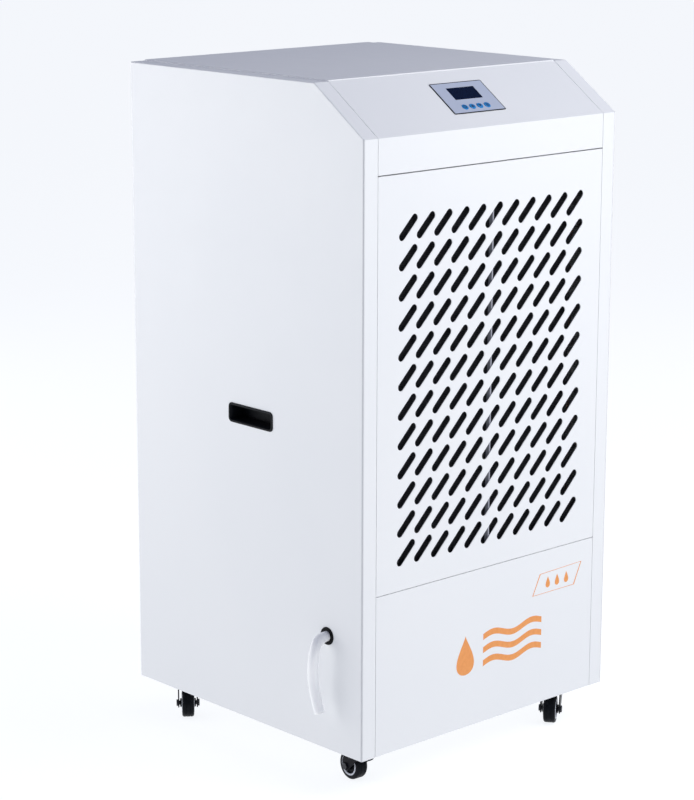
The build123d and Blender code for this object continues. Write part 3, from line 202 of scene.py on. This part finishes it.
def black_plastic():
    """Moulded plastic with a fine spark-eroded grain."""
    shader = Shader("black_moulded_plastic", (0.004, 0.005, 0.007), 0.46)
    shader.tinted(shader.noise(60.0), (0.007, 0.008, 0.011))
    shader.set(Specular_IOR_Level=0.12)
    shader.varied(shader.noise(240.0), 0.07)
    shader.bumped(shader.cells(1500.0), 0.08, 0.4)
    return shader.material


def rubber():
    shader = Shader("black_rubber", (0.004, 0.004, 0.005), 0.40)
    shader.tinted(shader.noise(90.0, 5.0), (0.007, 0.007, 0.009), 0.5, 0.8)
    shader.set(Specular_IOR_Level=0.08)
    shader.varied(shader.noise(300.0), 0.10)
    shader.bumped(shader.noise(1100.0), 0.10, 0.5)
    return shader.material


def wheel_tread():
    """Dense moulded tread, a little scuffed."""
    shader = Shader("caster_tread", (0.004, 0.005, 0.007), 0.36)
    shader.tinted(shader.noise(140.0, 6.0), (0.009, 0.010, 0.014), 0.52, 0.78)
    shader.set(Specular_IOR_Level=0.08)
    shader.varied(shader.noise(200.0), 0.12)
    shader.bumped(shader.noise(900.0), 0.08, 0.5)
    return shader.material


def wheel_ring():
    """Pale moulded ring on the wheel's face."""
    shader = Shader("caster_ring", (0.60, 0.62, 0.68), 0.28)
    shader.tinted(shader.noise(160.0), (0.44, 0.46, 0.52))
    shader.varied(shader.noise(420.0), 0.08)
    shader.bumped(shader.noise(1000.0), 0.03, 0.4)
    return shader.material


def hose_plastic():
    """Milky soft hose that lets a little light in."""
    shader = Shader("hose_milky_plastic", (0.985, 0.985, 0.985), 0.30)
    streaks = shader.noise(1.0, 2.0, shader.stretched((170.0, 170.0, 9.0)))
    shader.tinted(streaks, (0.95, 0.96, 0.97))
    shader.varied(streaks, 0.06)
    shader.bumped(streaks, 0.02, 0.15)
    shader.set(Subsurface_Weight=0.15, Subsurface_Scale=0.003)
    shader.surface.inputs["Subsurface Radius"].default_value = (1.0, 1.0, 1.0)
    return shader.material


def panel_film():
    """Printed film on the control panel, with a fine matte texture."""
    shader = Shader("panel_film", (0.47, 0.52, 0.64), 0.40)
    shader.tinted(shader.noise(30.0), (0.45, 0.50, 0.62))
    shader.varied(shader.noise(300.0), 0.05)
    shader.bumped(shader.cells(2200.0), 0.03, 0.4)
    return shader.material


def display_face():
    """Dark tinted window with a faint cell grid of the unlit display."""
    shader = Shader("display_window_dark", (0.001, 0.004, 0.020), 0.14)
    shader.set(Specular_IOR_Level=0.06)
    shader.tinted(shader.cells(420.0, "F1", "Distance"), (0.002, 0.008, 0.032), 0.2, 0.6)
    shader.varied(shader.noise(50.0), 0.04)
    shader.bumped(shader.noise(400.0), 0.01, 0.2)
    return shader.material


def button_plastic():
    shader = Shader("button_blue_plastic", (0.010, 0.225, 0.560), 0.27)
    shader.tinted(shader.noise(200.0), (0.026, 0.250, 0.620))
    shader.varied(shader.noise(400.0), 0.05)
    shader.bumped(shader.noise(900.0), 0.03, 0.3)
    return shader.material


def button_print():
    shader = Shader("button_dark_print", (0.002, 0.012, 0.060), 0.35)
    shader.tinted(shader.noise(500.0), (0.004, 0.018, 0.080))
    shader.varied(shader.noise(700.0), 0.06)
    return shader.material


def orange_print():
    """Screen-printed orange ink, slightly uneven."""
    shader = Shader("orange_ink", (0.86, 0.335, 0.085), 0.40)
    shader.tinted(shader.noise(150.0, 5.0), (0.80, 0.295, 0.070))
    shader.varied(shader.noise(500.0), 0.07)
    shader.bumped(shader.noise(1500.0), 0.02, 0.4)
    return shader.material


def galvanised():
    """Zinc-coated sheet with its flat crystals."""
    shader = Shader("galvanised_sheet", (0.47, 0.48, 0.50), 0.42, 1.0)
    shader.tinted(shader.cells(110.0, "F1", "Color"), (0.60, 0.61, 0.63), 0.2, 0.8)
    shader.varied(shader.noise(90.0), 0.10)
    shader.bumped(shader.noise(260.0), 0.04, 0.3)
    return shader.material


def zinc_steel():
    shader = Shader("zinc_plated_steel", (0.56, 0.57, 0.60), 0.30, 1.0)
    shader.tinted(shader.noise(220.0, 4.0), (0.42, 0.43, 0.45))
    shader.varied(shader.noise(600.0), 0.09)
    shader.bumped(shader.noise(1300.0), 0.03, 0.4)
    return shader.material


def dark_steel():
    """Blackened axle steel with a worn, slightly brighter film."""
    shader = Shader("blackened_steel", (0.045, 0.046, 0.052), 0.36, 0.9)
    shader.tinted(shader.noise(260.0, 5.0), (0.110, 0.112, 0.120), 0.5, 0.8)
    shader.varied(shader.noise(600.0), 0.09)
    shader.bumped(shader.noise(1300.0), 0.03, 0.4)
    return shader.material


def near_black_fins():
    """Near-black fin stock with a faint random tone."""
    shader = Shader("near_black_fins", (0.020, 0.022, 0.028), 0.45, 0.2)
    shader.tinted(shader.noise(25.0, 4.0), (0.036, 0.038, 0.046))
    shader.varied(shader.noise(150.0), 0.08)
    shader.bumped(shader.noise(800.0), 0.04, 0.3)
    return shader.material


def copper():
    """Drawn copper with brown tarnish."""
    shader = Shader("drawn_copper", (0.74, 0.33, 0.18), 0.32, 1.0)
    shader.tinted(shader.noise(40.0, 6.0), (0.36, 0.16, 0.09), 0.45, 0.75)
    shader.varied(shader.noise(120.0), 0.10)
    shader.bumped(shader.noise(700.0), 0.03, 0.4)
    return shader.material


def black_enamel():
    """Semi-gloss black on pressed steel."""
    shader = Shader("black_enamel", (0.003, 0.003, 0.005), 0.34)
    shader.tinted(shader.noise(110.0, 5.0), (0.005, 0.005, 0.008))
    shader.set(Specular_IOR_Level=0.10)
    shader.varied(shader.noise(260.0), 0.10)
    shader.bumped(shader.noise(900.0), 0.05, 0.4)
    return shader.material


def fan_plastic():
    shader = Shader("fan_plastic", (0.030, 0.031, 0.035), 0.48)
    shader.tinted(shader.noise(50.0), (0.042, 0.043, 0.048))
    shader.varied(shader.noise(180.0), 0.07)
    shader.bumped(shader.noise(1000.0), 0.06, 0.4)
    return shader.material


def filter_plastic():
    shader = Shader("filter_frame_plastic", (0.36, 0.37, 0.42), 0.50)
    shader.tinted(shader.noise(40.0), (0.31, 0.32, 0.37))
    shader.varied(shader.noise(200.0), 0.06)
    shader.bumped(shader.noise(900.0), 0.06, 0.4)
    return shader.material


def net_thread():
    shader = Shader("filter_thread", (0.020, 0.021, 0.026), 0.55)
    shader.tinted(shader.noise(300.0), (0.055, 0.057, 0.068))
    shader.varied(shader.noise(500.0), 0.10)
    shader.bumped(shader.noise(2500.0), 0.04, 0.5)
    return shader.material


def board_mask():
    shader = Shader("board_mask", (0.010, 0.100, 0.040), 0.35)
    shader.tinted(shader.cells(300.0), (0.016, 0.140, 0.060))
    shader.varied(shader.noise(400.0), 0.08)
    shader.bumped(shader.noise(900.0), 0.05, 0.4)
    return shader.material


LOOKS = {
    "white_paint": white_paint(),
    "black_plastic": black_plastic(),
    "rubber": rubber(),
    "hose_pvc": hose_plastic(),
    "bezel_grey": black_plastic(),
    "display_glass": display_face(),
    "board_green": board_mask(),
    "button_blue": button_plastic(),
    "galvanised": galvanised(),
    "zinc_steel": zinc_steel(),
    "fin_aluminium": near_black_fins(),
    "copper": copper(),
    "black_enamel": black_enamel(),
    "fan_plastic": fan_plastic(),
    "wheel_rubber": wheel_tread(),
    "filter_plastic": filter_plastic(),
    "filter_net": net_thread(),
    "panel_film": panel_film(),
    "button_print": button_print(),
    "orange_print": orange_print(),
    "wheel_ring": wheel_ring(),
    "dark_steel": dark_steel(),
}


def dress_nodes():
    """Every CAD node takes the look of its slot."""
    for part in frame["record"]["subparts"]:
        node = NODES[part["node"]]
        node.data.materials.clear()
        node.data.materials.append(LOOKS[part["material_slot"]])


dress_nodes()

# ---------------------------------------------------------------- mesh helpers


def add_piece(name, mesh, look, body, replaced=(), smooth_angle=None):
    """Link a mesh as a piece that rides on a body."""
    mesh.materials.append(LOOKS[look])
    piece = bpy.data.objects.new(name, mesh)
    bpy.context.scene.collection.objects.link(piece)
    if smooth_angle is not None:
        mesh.shade_smooth()
        mesh.set_sharp_from_angle(angle=math.radians(smooth_angle))
    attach(piece, body)
    if replaced:
        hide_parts(*replaced)
    return piece


def mesh_of(name, build):
    """A mesh filled by build(bmesh)."""
    mesh = bpy.data.meshes.new(name)
    work = bmesh.new()
    build(work)
    bmesh.ops.recalc_face_normals(work, faces=work.faces)
    work.to_mesh(mesh)
    work.free()
    return mesh


def add_block(work, low, high):
    """An axis-aligned block between two corners."""
    corners = [work.verts.new((x, y, z)) for x in (low[0], high[0]) for y in (low[1], high[1])
               for z in (low[2], high[2])]
    for face in ((0, 1, 3, 2), (4, 6, 7, 5), (0, 4, 5, 1), (2, 3, 7, 6), (0, 2, 6, 4), (1, 5, 7, 3)):
        work.faces.new([corners[i] for i in face])


def add_plate(work, outline, place, thickness):
    """A flat plate with an outline in its own plane; place is its 4x4 matrix, +Z outward."""
    below = [work.verts.new(place @ Vector((x, y, 0.0))) for x, y in outline]
    above = [work.verts.new(place @ Vector((x, y, thickness))) for x, y in outline]
    work.faces.new(above)
    work.faces.new(below[::-1])
    for i in range(len(outline)):
        j = (i + 1) % len(outline)
        work.faces.new((below[i], below[j], above[j], above[i]))


def add_lathe(work, profile, place, segments=72):
    """A closed (along, radius) profile turned about the local Z of place."""
    rings = []
    for step in range(segments):
        angle = 2 * math.pi * step / segments
        rings.append([
            work.verts.new(place @ Vector((radius * math.cos(angle), radius * math.sin(angle), along)))
            for along, radius in profile
        ])
    for step in range(segments):
        near, far = rings[step], rings[(step + 1) % segments]
        for i in range(len(profile)):
            j = (i + 1) % len(profile)
            work.faces.new((near[i], near[j], far[j], far[i]))


def facing(origin, outward, across=None):
    """4x4 matrix at origin with local Z outward and local X across."""
    z_axis = Vector(outward).normalized()
    x_axis = Vector(across or (1, 0, 0))
    x_axis = (x_axis - z_axis * x_axis.dot(z_axis)).normalized()
    y_axis = z_axis.cross(x_axis)
    return Matrix.Translation(origin) @ Matrix((x_axis, y_axis, z_axis)).transposed().to_4x4()


def circle(radius, steps=48, centre=(0.0, 0.0)):
    return [
        (centre[0] + radius * math.cos(2 * math.pi * i / steps),
         centre[1] + radius * math.sin(2 * math.pi * i / steps))
        for i in range(steps)
    ]


SOFT_ANGLE = 40               # degrees, edges sharper than this are rounded


def soften(node, body, width_mm):
    """Put a copy with rounded edges in place of a CAD node."""
    mesh = NODES[node].data.copy()
    work = bmesh.new()
    work.from_mesh(mesh)
    bmesh.ops.remove_doubles(work, verts=work.verts, dist=1e-6)
    bmesh.ops.dissolve_limit(work, angle_limit=math.radians(2), verts=work.verts, edges=work.edges)
    work.to_mesh(mesh)
    work.free()
    slot = next(p["material_slot"] for p in frame["record"]["subparts"] if p["node"] == node)
    mesh.materials.clear()
    piece = add_piece(f"{node}_soft", mesh, slot, body, (node,), SOFT_ANGLE)
    bevel = piece.modifiers.new("edge", "BEVEL")
    bevel.width = width_mm * MM
    bevel.segments = 2
    bevel.limit_method = "ANGLE"
    bevel.angle_limit = math.radians(SOFT_ANGLE)
    bevel.harden_normals = True


# ---------------------------------------------------------------- drain hose
HOSE_D = 0.018
HOSE_WALL = 0.002
# The tube's route from the outlet to its cut end.
HOSE_ROUTE = [
    (-0.2990, -0.2144, 0.2716),
    (-0.3130, -0.2144, 0.2716),
    (-0.3280, -0.2180, 0.2656),
    (-0.3360, -0.2210, 0.2516),
    (-0.3385, -0.2210, 0.2326),
    (-0.3360, -0.2170, 0.2040),
    (-0.3330, -0.2210, 0.1740),
    (-0.3315, -0.2305, 0.1460),
]


def make_hose():
    curve = bpy.data.curves.new("drain_hose_tube", "CURVE")
    curve.dimensions = "3D"
    curve.resolution_u = 12
    curve.bevel_depth = HOSE_D / 2
    curve.bevel_resolution = 8
    spline = curve.splines.new("NURBS")
    spline.points.add(len(HOSE_ROUTE) - 1)
    for point, place in zip(spline.points, HOSE_ROUTE):
        point.co = (*place, 1.0)
    spline.order_u = 3
    spline.use_endpoint_u = True
    curve.materials.append(LOOKS["hose_pvc"])
    hose = bpy.data.objects.new("drain_hose_tube", curve)
    bpy.context.scene.collection.objects.link(hose)
    wall = hose.modifiers.new("wall", "SOLIDIFY")
    wall.thickness = HOSE_WALL
    wall.offset = -1.0
    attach(hose, "root")
    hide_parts("drain_hose")


make_hose()

# ---------------------------------------------------------------- air filter net
NET_PITCH = 0.0030
THREAD = 0.00045


def build_net(work):
    """Crossing threads, the upright ones in front of the level ones."""
    low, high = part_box("filter_mesh")
    middle = (low.y + high.y) / 2
    columns = int((high.x - low.x) / NET_PITCH)
    rows = int((high.z - low.z) / NET_PITCH)
    for i in range(columns + 1):
        x = low.x + THREAD / 2 + i * (high.x - low.x - THREAD) / columns
        add_block(work, (x - THREAD / 2, middle - THREAD, low.z), (x + THREAD / 2, middle, high.z))
    for i in range(rows + 1):
        z = low.z + THREAD / 2 + i * (high.z - low.z - THREAD) / rows
        add_block(work, (low.x, middle, z - THREAD / 2), (high.x, middle + THREAD, z + THREAD / 2))


add_piece("filter_net_threads", mesh_of("filter_net_threads", build_net), "filter_net", "grille",
          ("filter_mesh",))

# ---------------------------------------------------------------- coil fins
FIN_PITCH = 0.0025
FIN_T = 0.00030


def build_fins(node):
    def build(work):
        low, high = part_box(node)
        count = int((high.x - low.x) / FIN_PITCH)
        for i in range(count + 1):
            x = low.x + FIN_T / 2 + i * (high.x - low.x - FIN_T) / count
            add_block(work, (x - FIN_T / 2, low.y, low.z), (x + FIN_T / 2, high.y, high.z))
    return build


for coil in ("evaporator_fins", "condenser_fins"):
    add_piece(f"{coil}_stack", mesh_of(f"{coil}_stack", build_fins(coil)), "fin_aluminium", "root",
              (coil,))

# ---------------------------------------------------------------- seam beads
BEAD_W = 0.0007
BEAD_DEPTH = 0.0012
BEAD_INSET = 0.0006
BEAD_STEPS = 10               # straight sides of the bead's half round
BEAD_STOP = 0.055             # the beads end this far above the fascia's foot
STRIP_EDGE = 0.269            # inner edge of the side panels' front strips


def build_beads(work):
    """Dark half-round bead in the gap on each side of the front panels."""
    fascia_low, fascia_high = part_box("control_fascia")
    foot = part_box("lower_front_panel")[0].z
    nose = fascia_low.z + BEAD_STOP
    gap_mid = (fascia_high.x + STRIP_EDGE) / 2
    for side in (-1, 1):
        place = Matrix.Translation((side * gap_mid, fascia_low.y + BEAD_INSET, foot))
        arc = [math.pi * (1 + i / BEAD_STEPS) for i in range(BEAD_STEPS + 1)]
        outline = [(BEAD_W / 2 * math.cos(a), BEAD_W / 2 * (1 + math.sin(a))) for a in arc]
        outline += [(BEAD_W / 2, BEAD_DEPTH), (-BEAD_W / 2, BEAD_DEPTH)]
        add_plate(work, outline, place, nose - foot)


add_piece("seam_beads", mesh_of("seam_beads", build_beads), "rubber", "root", (), 40)

# ---------------------------------------------------------------- printed marks
INK = 0.0001
FRONT_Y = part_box("lower_front_panel")[0].y


def droplet(width, height, centre, steps=40):
    """Water-drop outline: round below, drawn to a point above."""
    points = []
    for i in range(steps):
        t = 2 * math.pi * i / steps
        narrow = math.sin(t / 2) ** 1.6
        points.append((centre[0] + width / 2 * math.sin(t) * narrow * 1.25,
                       centre[1] + height / 2 * math.cos(t)))
    return points


def wave(length, amplitude, thickness, start, turns=1.5, steps=36):
    """A ribbon that follows a sine wave."""
    upper, lower = [], []
    for i in range(steps + 1):
        x = start[0] + length * i / steps
        y = start[1] + amplitude * math.sin(2 * math.pi * turns * i / steps)
        upper.append((x, y + thickness / 2))
        lower.append((x, y - thickness / 2))
    return upper + lower[::-1]


EMBLEM_LEFT, EMBLEM_RIGHT = -0.081, 0.137
EMBLEM_LOW, EMBLEM_HIGH = 0.166, 0.237
DROP_W, DROP_IN = 0.050, 0.026          # the drop's width, and its middle from the emblem's left
STREAM_IN, STREAM_GAP = 0.070, 0.024    # the streams' start, and their spacing
STREAM_SWING, STREAM_T = 0.0055, 0.011


def build_emblem(work):
    """A drop beside three air streams, printed on the lower panel."""
    place = facing((0, FRONT_Y, 0), (0, -1, 0))
    height = EMBLEM_HIGH - EMBLEM_LOW
    middle = (EMBLEM_LOW + EMBLEM_HIGH) / 2
    add_plate(work, droplet(DROP_W, height, (EMBLEM_LEFT + DROP_IN, middle)), place, INK)
    for i in (-1, 0, 1):
        start = (EMBLEM_LEFT + STREAM_IN, middle + i * STREAM_GAP)
        length = EMBLEM_RIGHT - EMBLEM_LEFT - STREAM_IN
        add_plate(work, wave(length, STREAM_SWING, STREAM_T, start), place, INK)


add_piece("front_emblem", mesh_of("front_emblem", build_emblem), "orange_print", "root")

BADGE_CORNERS = ((0.1121, 0.2727), (0.2209, 0.2730), (0.2395, 0.3132), (0.1304, 0.3104))
BADGE_LINE = 0.0024           # how far the outline's inner corners come in
BADGE_DROP = (0.013, 0.021)
BADGE_STEP = 0.024


def build_badge(work):
    """A leaning outline with three small drops in it."""
    place = facing((0, FRONT_Y, 0), (0, -1, 0))
    centre = Vector([sum(c[k] for c in BADGE_CORNERS) / 4 for k in (0, 1)])
    corners = [Vector(c) for c in BADGE_CORNERS]
    for a, b in zip(corners, corners[1:] + corners[:1]):
        inward_a = a + (centre - a).normalized() * BADGE_LINE
        inward_b = b + (centre - b).normalized() * BADGE_LINE
        add_plate(work, [tuple(a), tuple(b), tuple(inward_b), tuple(inward_a)], place, INK)
    for i in (-1, 0, 1):
        add_plate(work, droplet(*BADGE_DROP, (centre.x + i * BADGE_STEP, centre.y)), place, INK)


add_piece("front_badge", mesh_of("front_badge", build_badge), "orange_print", "root")

# ---------------------------------------------------------------- control panel
press = Vector(JOINTS["button_1_press"]["axis"])
SLOPE_OUT = -press
SLOPE_UP = SLOPE_OUT.cross(Vector((1, 0, 0)))
BEZEL_RISE = 0.0010
FILM_T = 0.00012
FILM_W, FILM_H = 0.1181, 0.0741


def slope_place(centre, rise):
    return facing(centre + SLOPE_OUT * rise, SLOPE_OUT, (1, 0, 0))


def ring_plate(work, outer, holes, place, thickness):
    """A plate with holes, from filled outlines."""
    edges = []
    for outline in [outer, *holes]:
        verts = [work.verts.new(place @ Vector((x, y, 0.0))) for x, y in outline]
        edges += [work.edges.new((verts[i], verts[(i + 1) % len(verts)])) for i in range(len(verts))]
    filled = bmesh.ops.triangle_fill(work, use_beauty=True, edges=edges)
    faces = [g for g in filled["geom"] if isinstance(g, bmesh.types.BMFace)]
    raised = bmesh.ops.extrude_face_region(work, geom=faces)
    verts = [g for g in raised["geom"] if isinstance(g, bmesh.types.BMVert)]
    lift = place.to_3x3() @ Vector((0, 0, thickness))
    bmesh.ops.translate(work, vec=lift, verts=verts)


def rectangle(width, height, centre=(0.0, 0.0)):
    return [(centre[0] + sx * width / 2, centre[1] + sy * height / 2)
            for sx, sy in ((-1, -1), (1, -1), (1, 1), (-1, 1))]


def face_centre(node):
    low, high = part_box(node)
    return (low + high) / 2


# The panel's middle on the slope, from the window.
window_mid = face_centre("display_window")
WINDOW_W, WINDOW_H, WINDOW_RISE = 0.065, 0.030, 0.0099
WINDOW_MID_RISE = 0.00045     # middle of the window's thickness above the slope
panel_mid = window_mid - SLOPE_UP * WINDOW_RISE - SLOPE_OUT * WINDOW_MID_RISE
BUTTON_R = 0.0062
BUTTON_HOLE = 0.0065
BUTTONS = [f"button_{i}" for i in range(1, 5)]
BUTTON_TOP = 0.0022


def button_mid(node):
    """Middle of the button on the slope's surface."""
    offset = face_centre(node) - panel_mid
    return panel_mid + Vector((1, 0, 0)) * offset.x + SLOPE_UP * offset.dot(SLOPE_UP)


def build_film(work):
    place = slope_place(panel_mid, BEZEL_RISE)
    holes = [rectangle(WINDOW_W, WINDOW_H, (0.0, WINDOW_RISE))]
    for node in BUTTONS:
        offset = button_mid(node) - panel_mid
        holes.append(circle(BUTTON_HOLE, 40, (offset.x, offset.dot(SLOPE_UP))))
    ring_plate(work, rectangle(FILM_W, FILM_H), holes, place, FILM_T)


add_piece("control_film", mesh_of("control_film", build_film), "panel_film", "root")

SYMBOLS = ("ring", "up", "down", "bars")
MARK_SHARE = 0.62             # half a mark's width, against the button's radius


def build_symbol(kind, node):
    """A generic mark on a button's cap."""
    def build(work):
        place = slope_place(button_mid(node), BUTTON_TOP)
        size = BUTTON_R * MARK_SHARE
        if kind == "ring":
            ring_plate(work, circle(size, 28), [circle(size * 0.55, 28)], place, INK)
        elif kind == "up":
            add_plate(work, [(-size, -size * 0.6), (size, -size * 0.6), (0, size)], place, INK)
        elif kind == "down":
            add_plate(work, [(-size, size * 0.6), (0, -size), (size, size * 0.6)], place, INK)
        else:
            for i in (-1, 0, 1):
                add_plate(work, rectangle(size * 1.7, size * 0.36, (0, i * size * 0.68)), place, INK)
    return build


for kind, node in zip(SYMBOLS, BUTTONS):
    name = f"{node}_symbol"
    add_piece(name, mesh_of(name, build_symbol(kind, node)), "button_print", node)

# ---------------------------------------------------------------- casters
CORNERS = ("front_left", "front_right", "rear_left", "rear_right")
WHEEL_R = 0.026
TREAD_HALF = 0.011
HUB_HALF = 0.0145
FORK_EDGE_MM = 0.5


def wheel_profile():
    """Half section of the wheel as (along axle, radius), with two shallow tread grooves."""
    side = [
        (-HUB_HALF, 0.00405), (-HUB_HALF, 0.0072), (-HUB_HALF + 0.0006, 0.0079), (-0.0085, 0.0084),
        (-0.0075, 0.0094), (-0.0075, 0.0132), (-0.0092, 0.0142), (-0.0102, 0.0148), (-0.0102, 0.0168),
        (-TREAD_HALF, 0.0178), (-TREAD_HALF, 0.0222), (-0.0104, 0.0242), (-0.0090, 0.0255),
        (-0.0074, WHEEL_R), (-0.0044, WHEEL_R), (-0.0041, 0.0255), (-0.0035, 0.0255), (-0.0032, WHEEL_R),
    ]
    return side + [(-along, radius) for along, radius in reversed(side)]


def ring_profile(sign):
    """Raised pale ring on one face of the wheel."""
    near, far = 0.0100, 0.0116
    return [(sign * near, 0.0154), (sign * (far - 0.0005), 0.0156), (sign * far, 0.0163),
            (sign * far, 0.0180), (sign * (far - 0.0005), 0.0187), (sign * near, 0.0189)]


def axle_place(corner):
    joint = JOINTS[f"{corner}_roll"]
    return facing(Vector(joint["pos_m"]), Vector(joint["axis"]), (0, 0, 1))


def dress_caster(corner):
    """Wheel with its two pale rings, rounded fork and blackened axle."""
    place = axle_place(corner)

    def build_tread(work):
        add_lathe(work, wheel_profile(), place)

    def build_rings(work):
        add_lathe(work, ring_profile(-1), place)
        add_lathe(work, ring_profile(1), place)

    body = f"wheel_{corner}"
    name = f"wheel_tread_{corner}"
    add_piece(name, mesh_of(name, build_tread), "wheel_rubber", body,
              (f"caster_wheel_{corner}",), 32)
    name = f"wheel_ring_{corner}"
    add_piece(name, mesh_of(name, build_rings), "wheel_ring", body, (), 60)
    soften(f"caster_fork_{corner}", f"swivel_{corner}", FORK_EDGE_MM)
    NODES[f"caster_axle_{corner}"].data.materials[0] = LOOKS["dark_steel"]


for corner in CORNERS:
    dress_caster(corner)

# ---------------------------------------------------------------- floor and light
FLOOR_SIZE = 90.0
FLOOR_T = 0.004


def make_floor():
    """White floor that glows, so that it meets the white surround without a line."""
    mesh = mesh_of("floor", lambda work: add_plate(
        work, rectangle(FLOOR_SIZE, FLOOR_SIZE), Matrix.Translation((0, 0, -FLOOR_T)), FLOOR_T))
    floor = bpy.data.objects.new("floor", mesh)
    bpy.context.scene.collection.objects.link(floor)
    shader = Shader("floor_pale", (0.24, 0.24, 0.24), 0.9)
    shader.set(Specular_IOR_Level=0.0, Emission_Strength=0.90)
    shader.surface.inputs["Emission Color"].default_value = (0.955, 0.975, 1.0, 1.0)
    mesh.materials.append(shader.material)


def make_world():
    """Studio surround: bright round the horizon and below, dimmer and bluer overhead."""
    world = bpy.data.worlds.new("studio")
    world.use_nodes = True
    nodes, links = world.node_tree.nodes, world.node_tree.links
    place = nodes.new("ShaderNodeTexCoord")
    split = nodes.new("ShaderNodeSeparateXYZ")
    ramp = nodes.new("ShaderNodeValToRGB")
    spread = nodes.new("ShaderNodeMapRange")
    spread.inputs["From Min"].default_value = -1.0
    links.new(place.outputs["Generated"], split.inputs["Vector"])
    links.new(split.outputs["Z"], spread.inputs["Value"])
    links.new(spread.outputs["Result"], ramp.inputs["Fac"])
    stops = ((0.0, (0.98, 0.98, 0.98)), (0.505, (0.98, 0.98, 0.98)), (0.55, (0.27, 0.29, 0.36)),
             (1.0, (0.14, 0.155, 0.26)))
    elements = ramp.color_ramp.elements
    while len(elements) < len(stops):
        elements.new(0.5)
    for element, (position, colour) in zip(elements, stops):
        element.position = position
        element.color = (*colour, 1.0)
    links.new(ramp.outputs["Color"], nodes["Background"].inputs["Color"])
    nodes["Background"].inputs["Strength"].default_value = 1.0
    bpy.context.scene.world = world


def make_light(name, place, target, size, power):
    data = bpy.data.lights.new(name, "AREA")
    data.shape = "RECTANGLE"
    data.size, data.size_y = size
    data.energy = power
    light = bpy.data.objects.new(name, data)
    light.location = place
    aim = Vector(target) - Vector(place)
    light.rotation_euler = aim.to_track_quat("-Z", "Y").to_euler()
    bpy.context.scene.collection.objects.link(light)


make_floor()
make_world()
# Each box faces one side of the cabinet from beyond it, so the near corner stays darker.
make_light("key_box", (1.4, -2.5, 3.0), (0, -0.2, 0.85), (2.2, 2.2), 84)
make_light("left_box", (-2.3, 1.8, 1.15), (0, 0, 0.85), (2.6, 2.2), 30)
make_light("rear_box", (-0.6, 3.6, 1.0), (0, 0, 0.7), (2.0, 2.0), 24)
make_light("right_box", (3.8, -0.4, 1.0), (0, 0, 0.7), (2.0, 2.0), 26)
bpy.context.scene.view_settings.view_transform = "Standard"
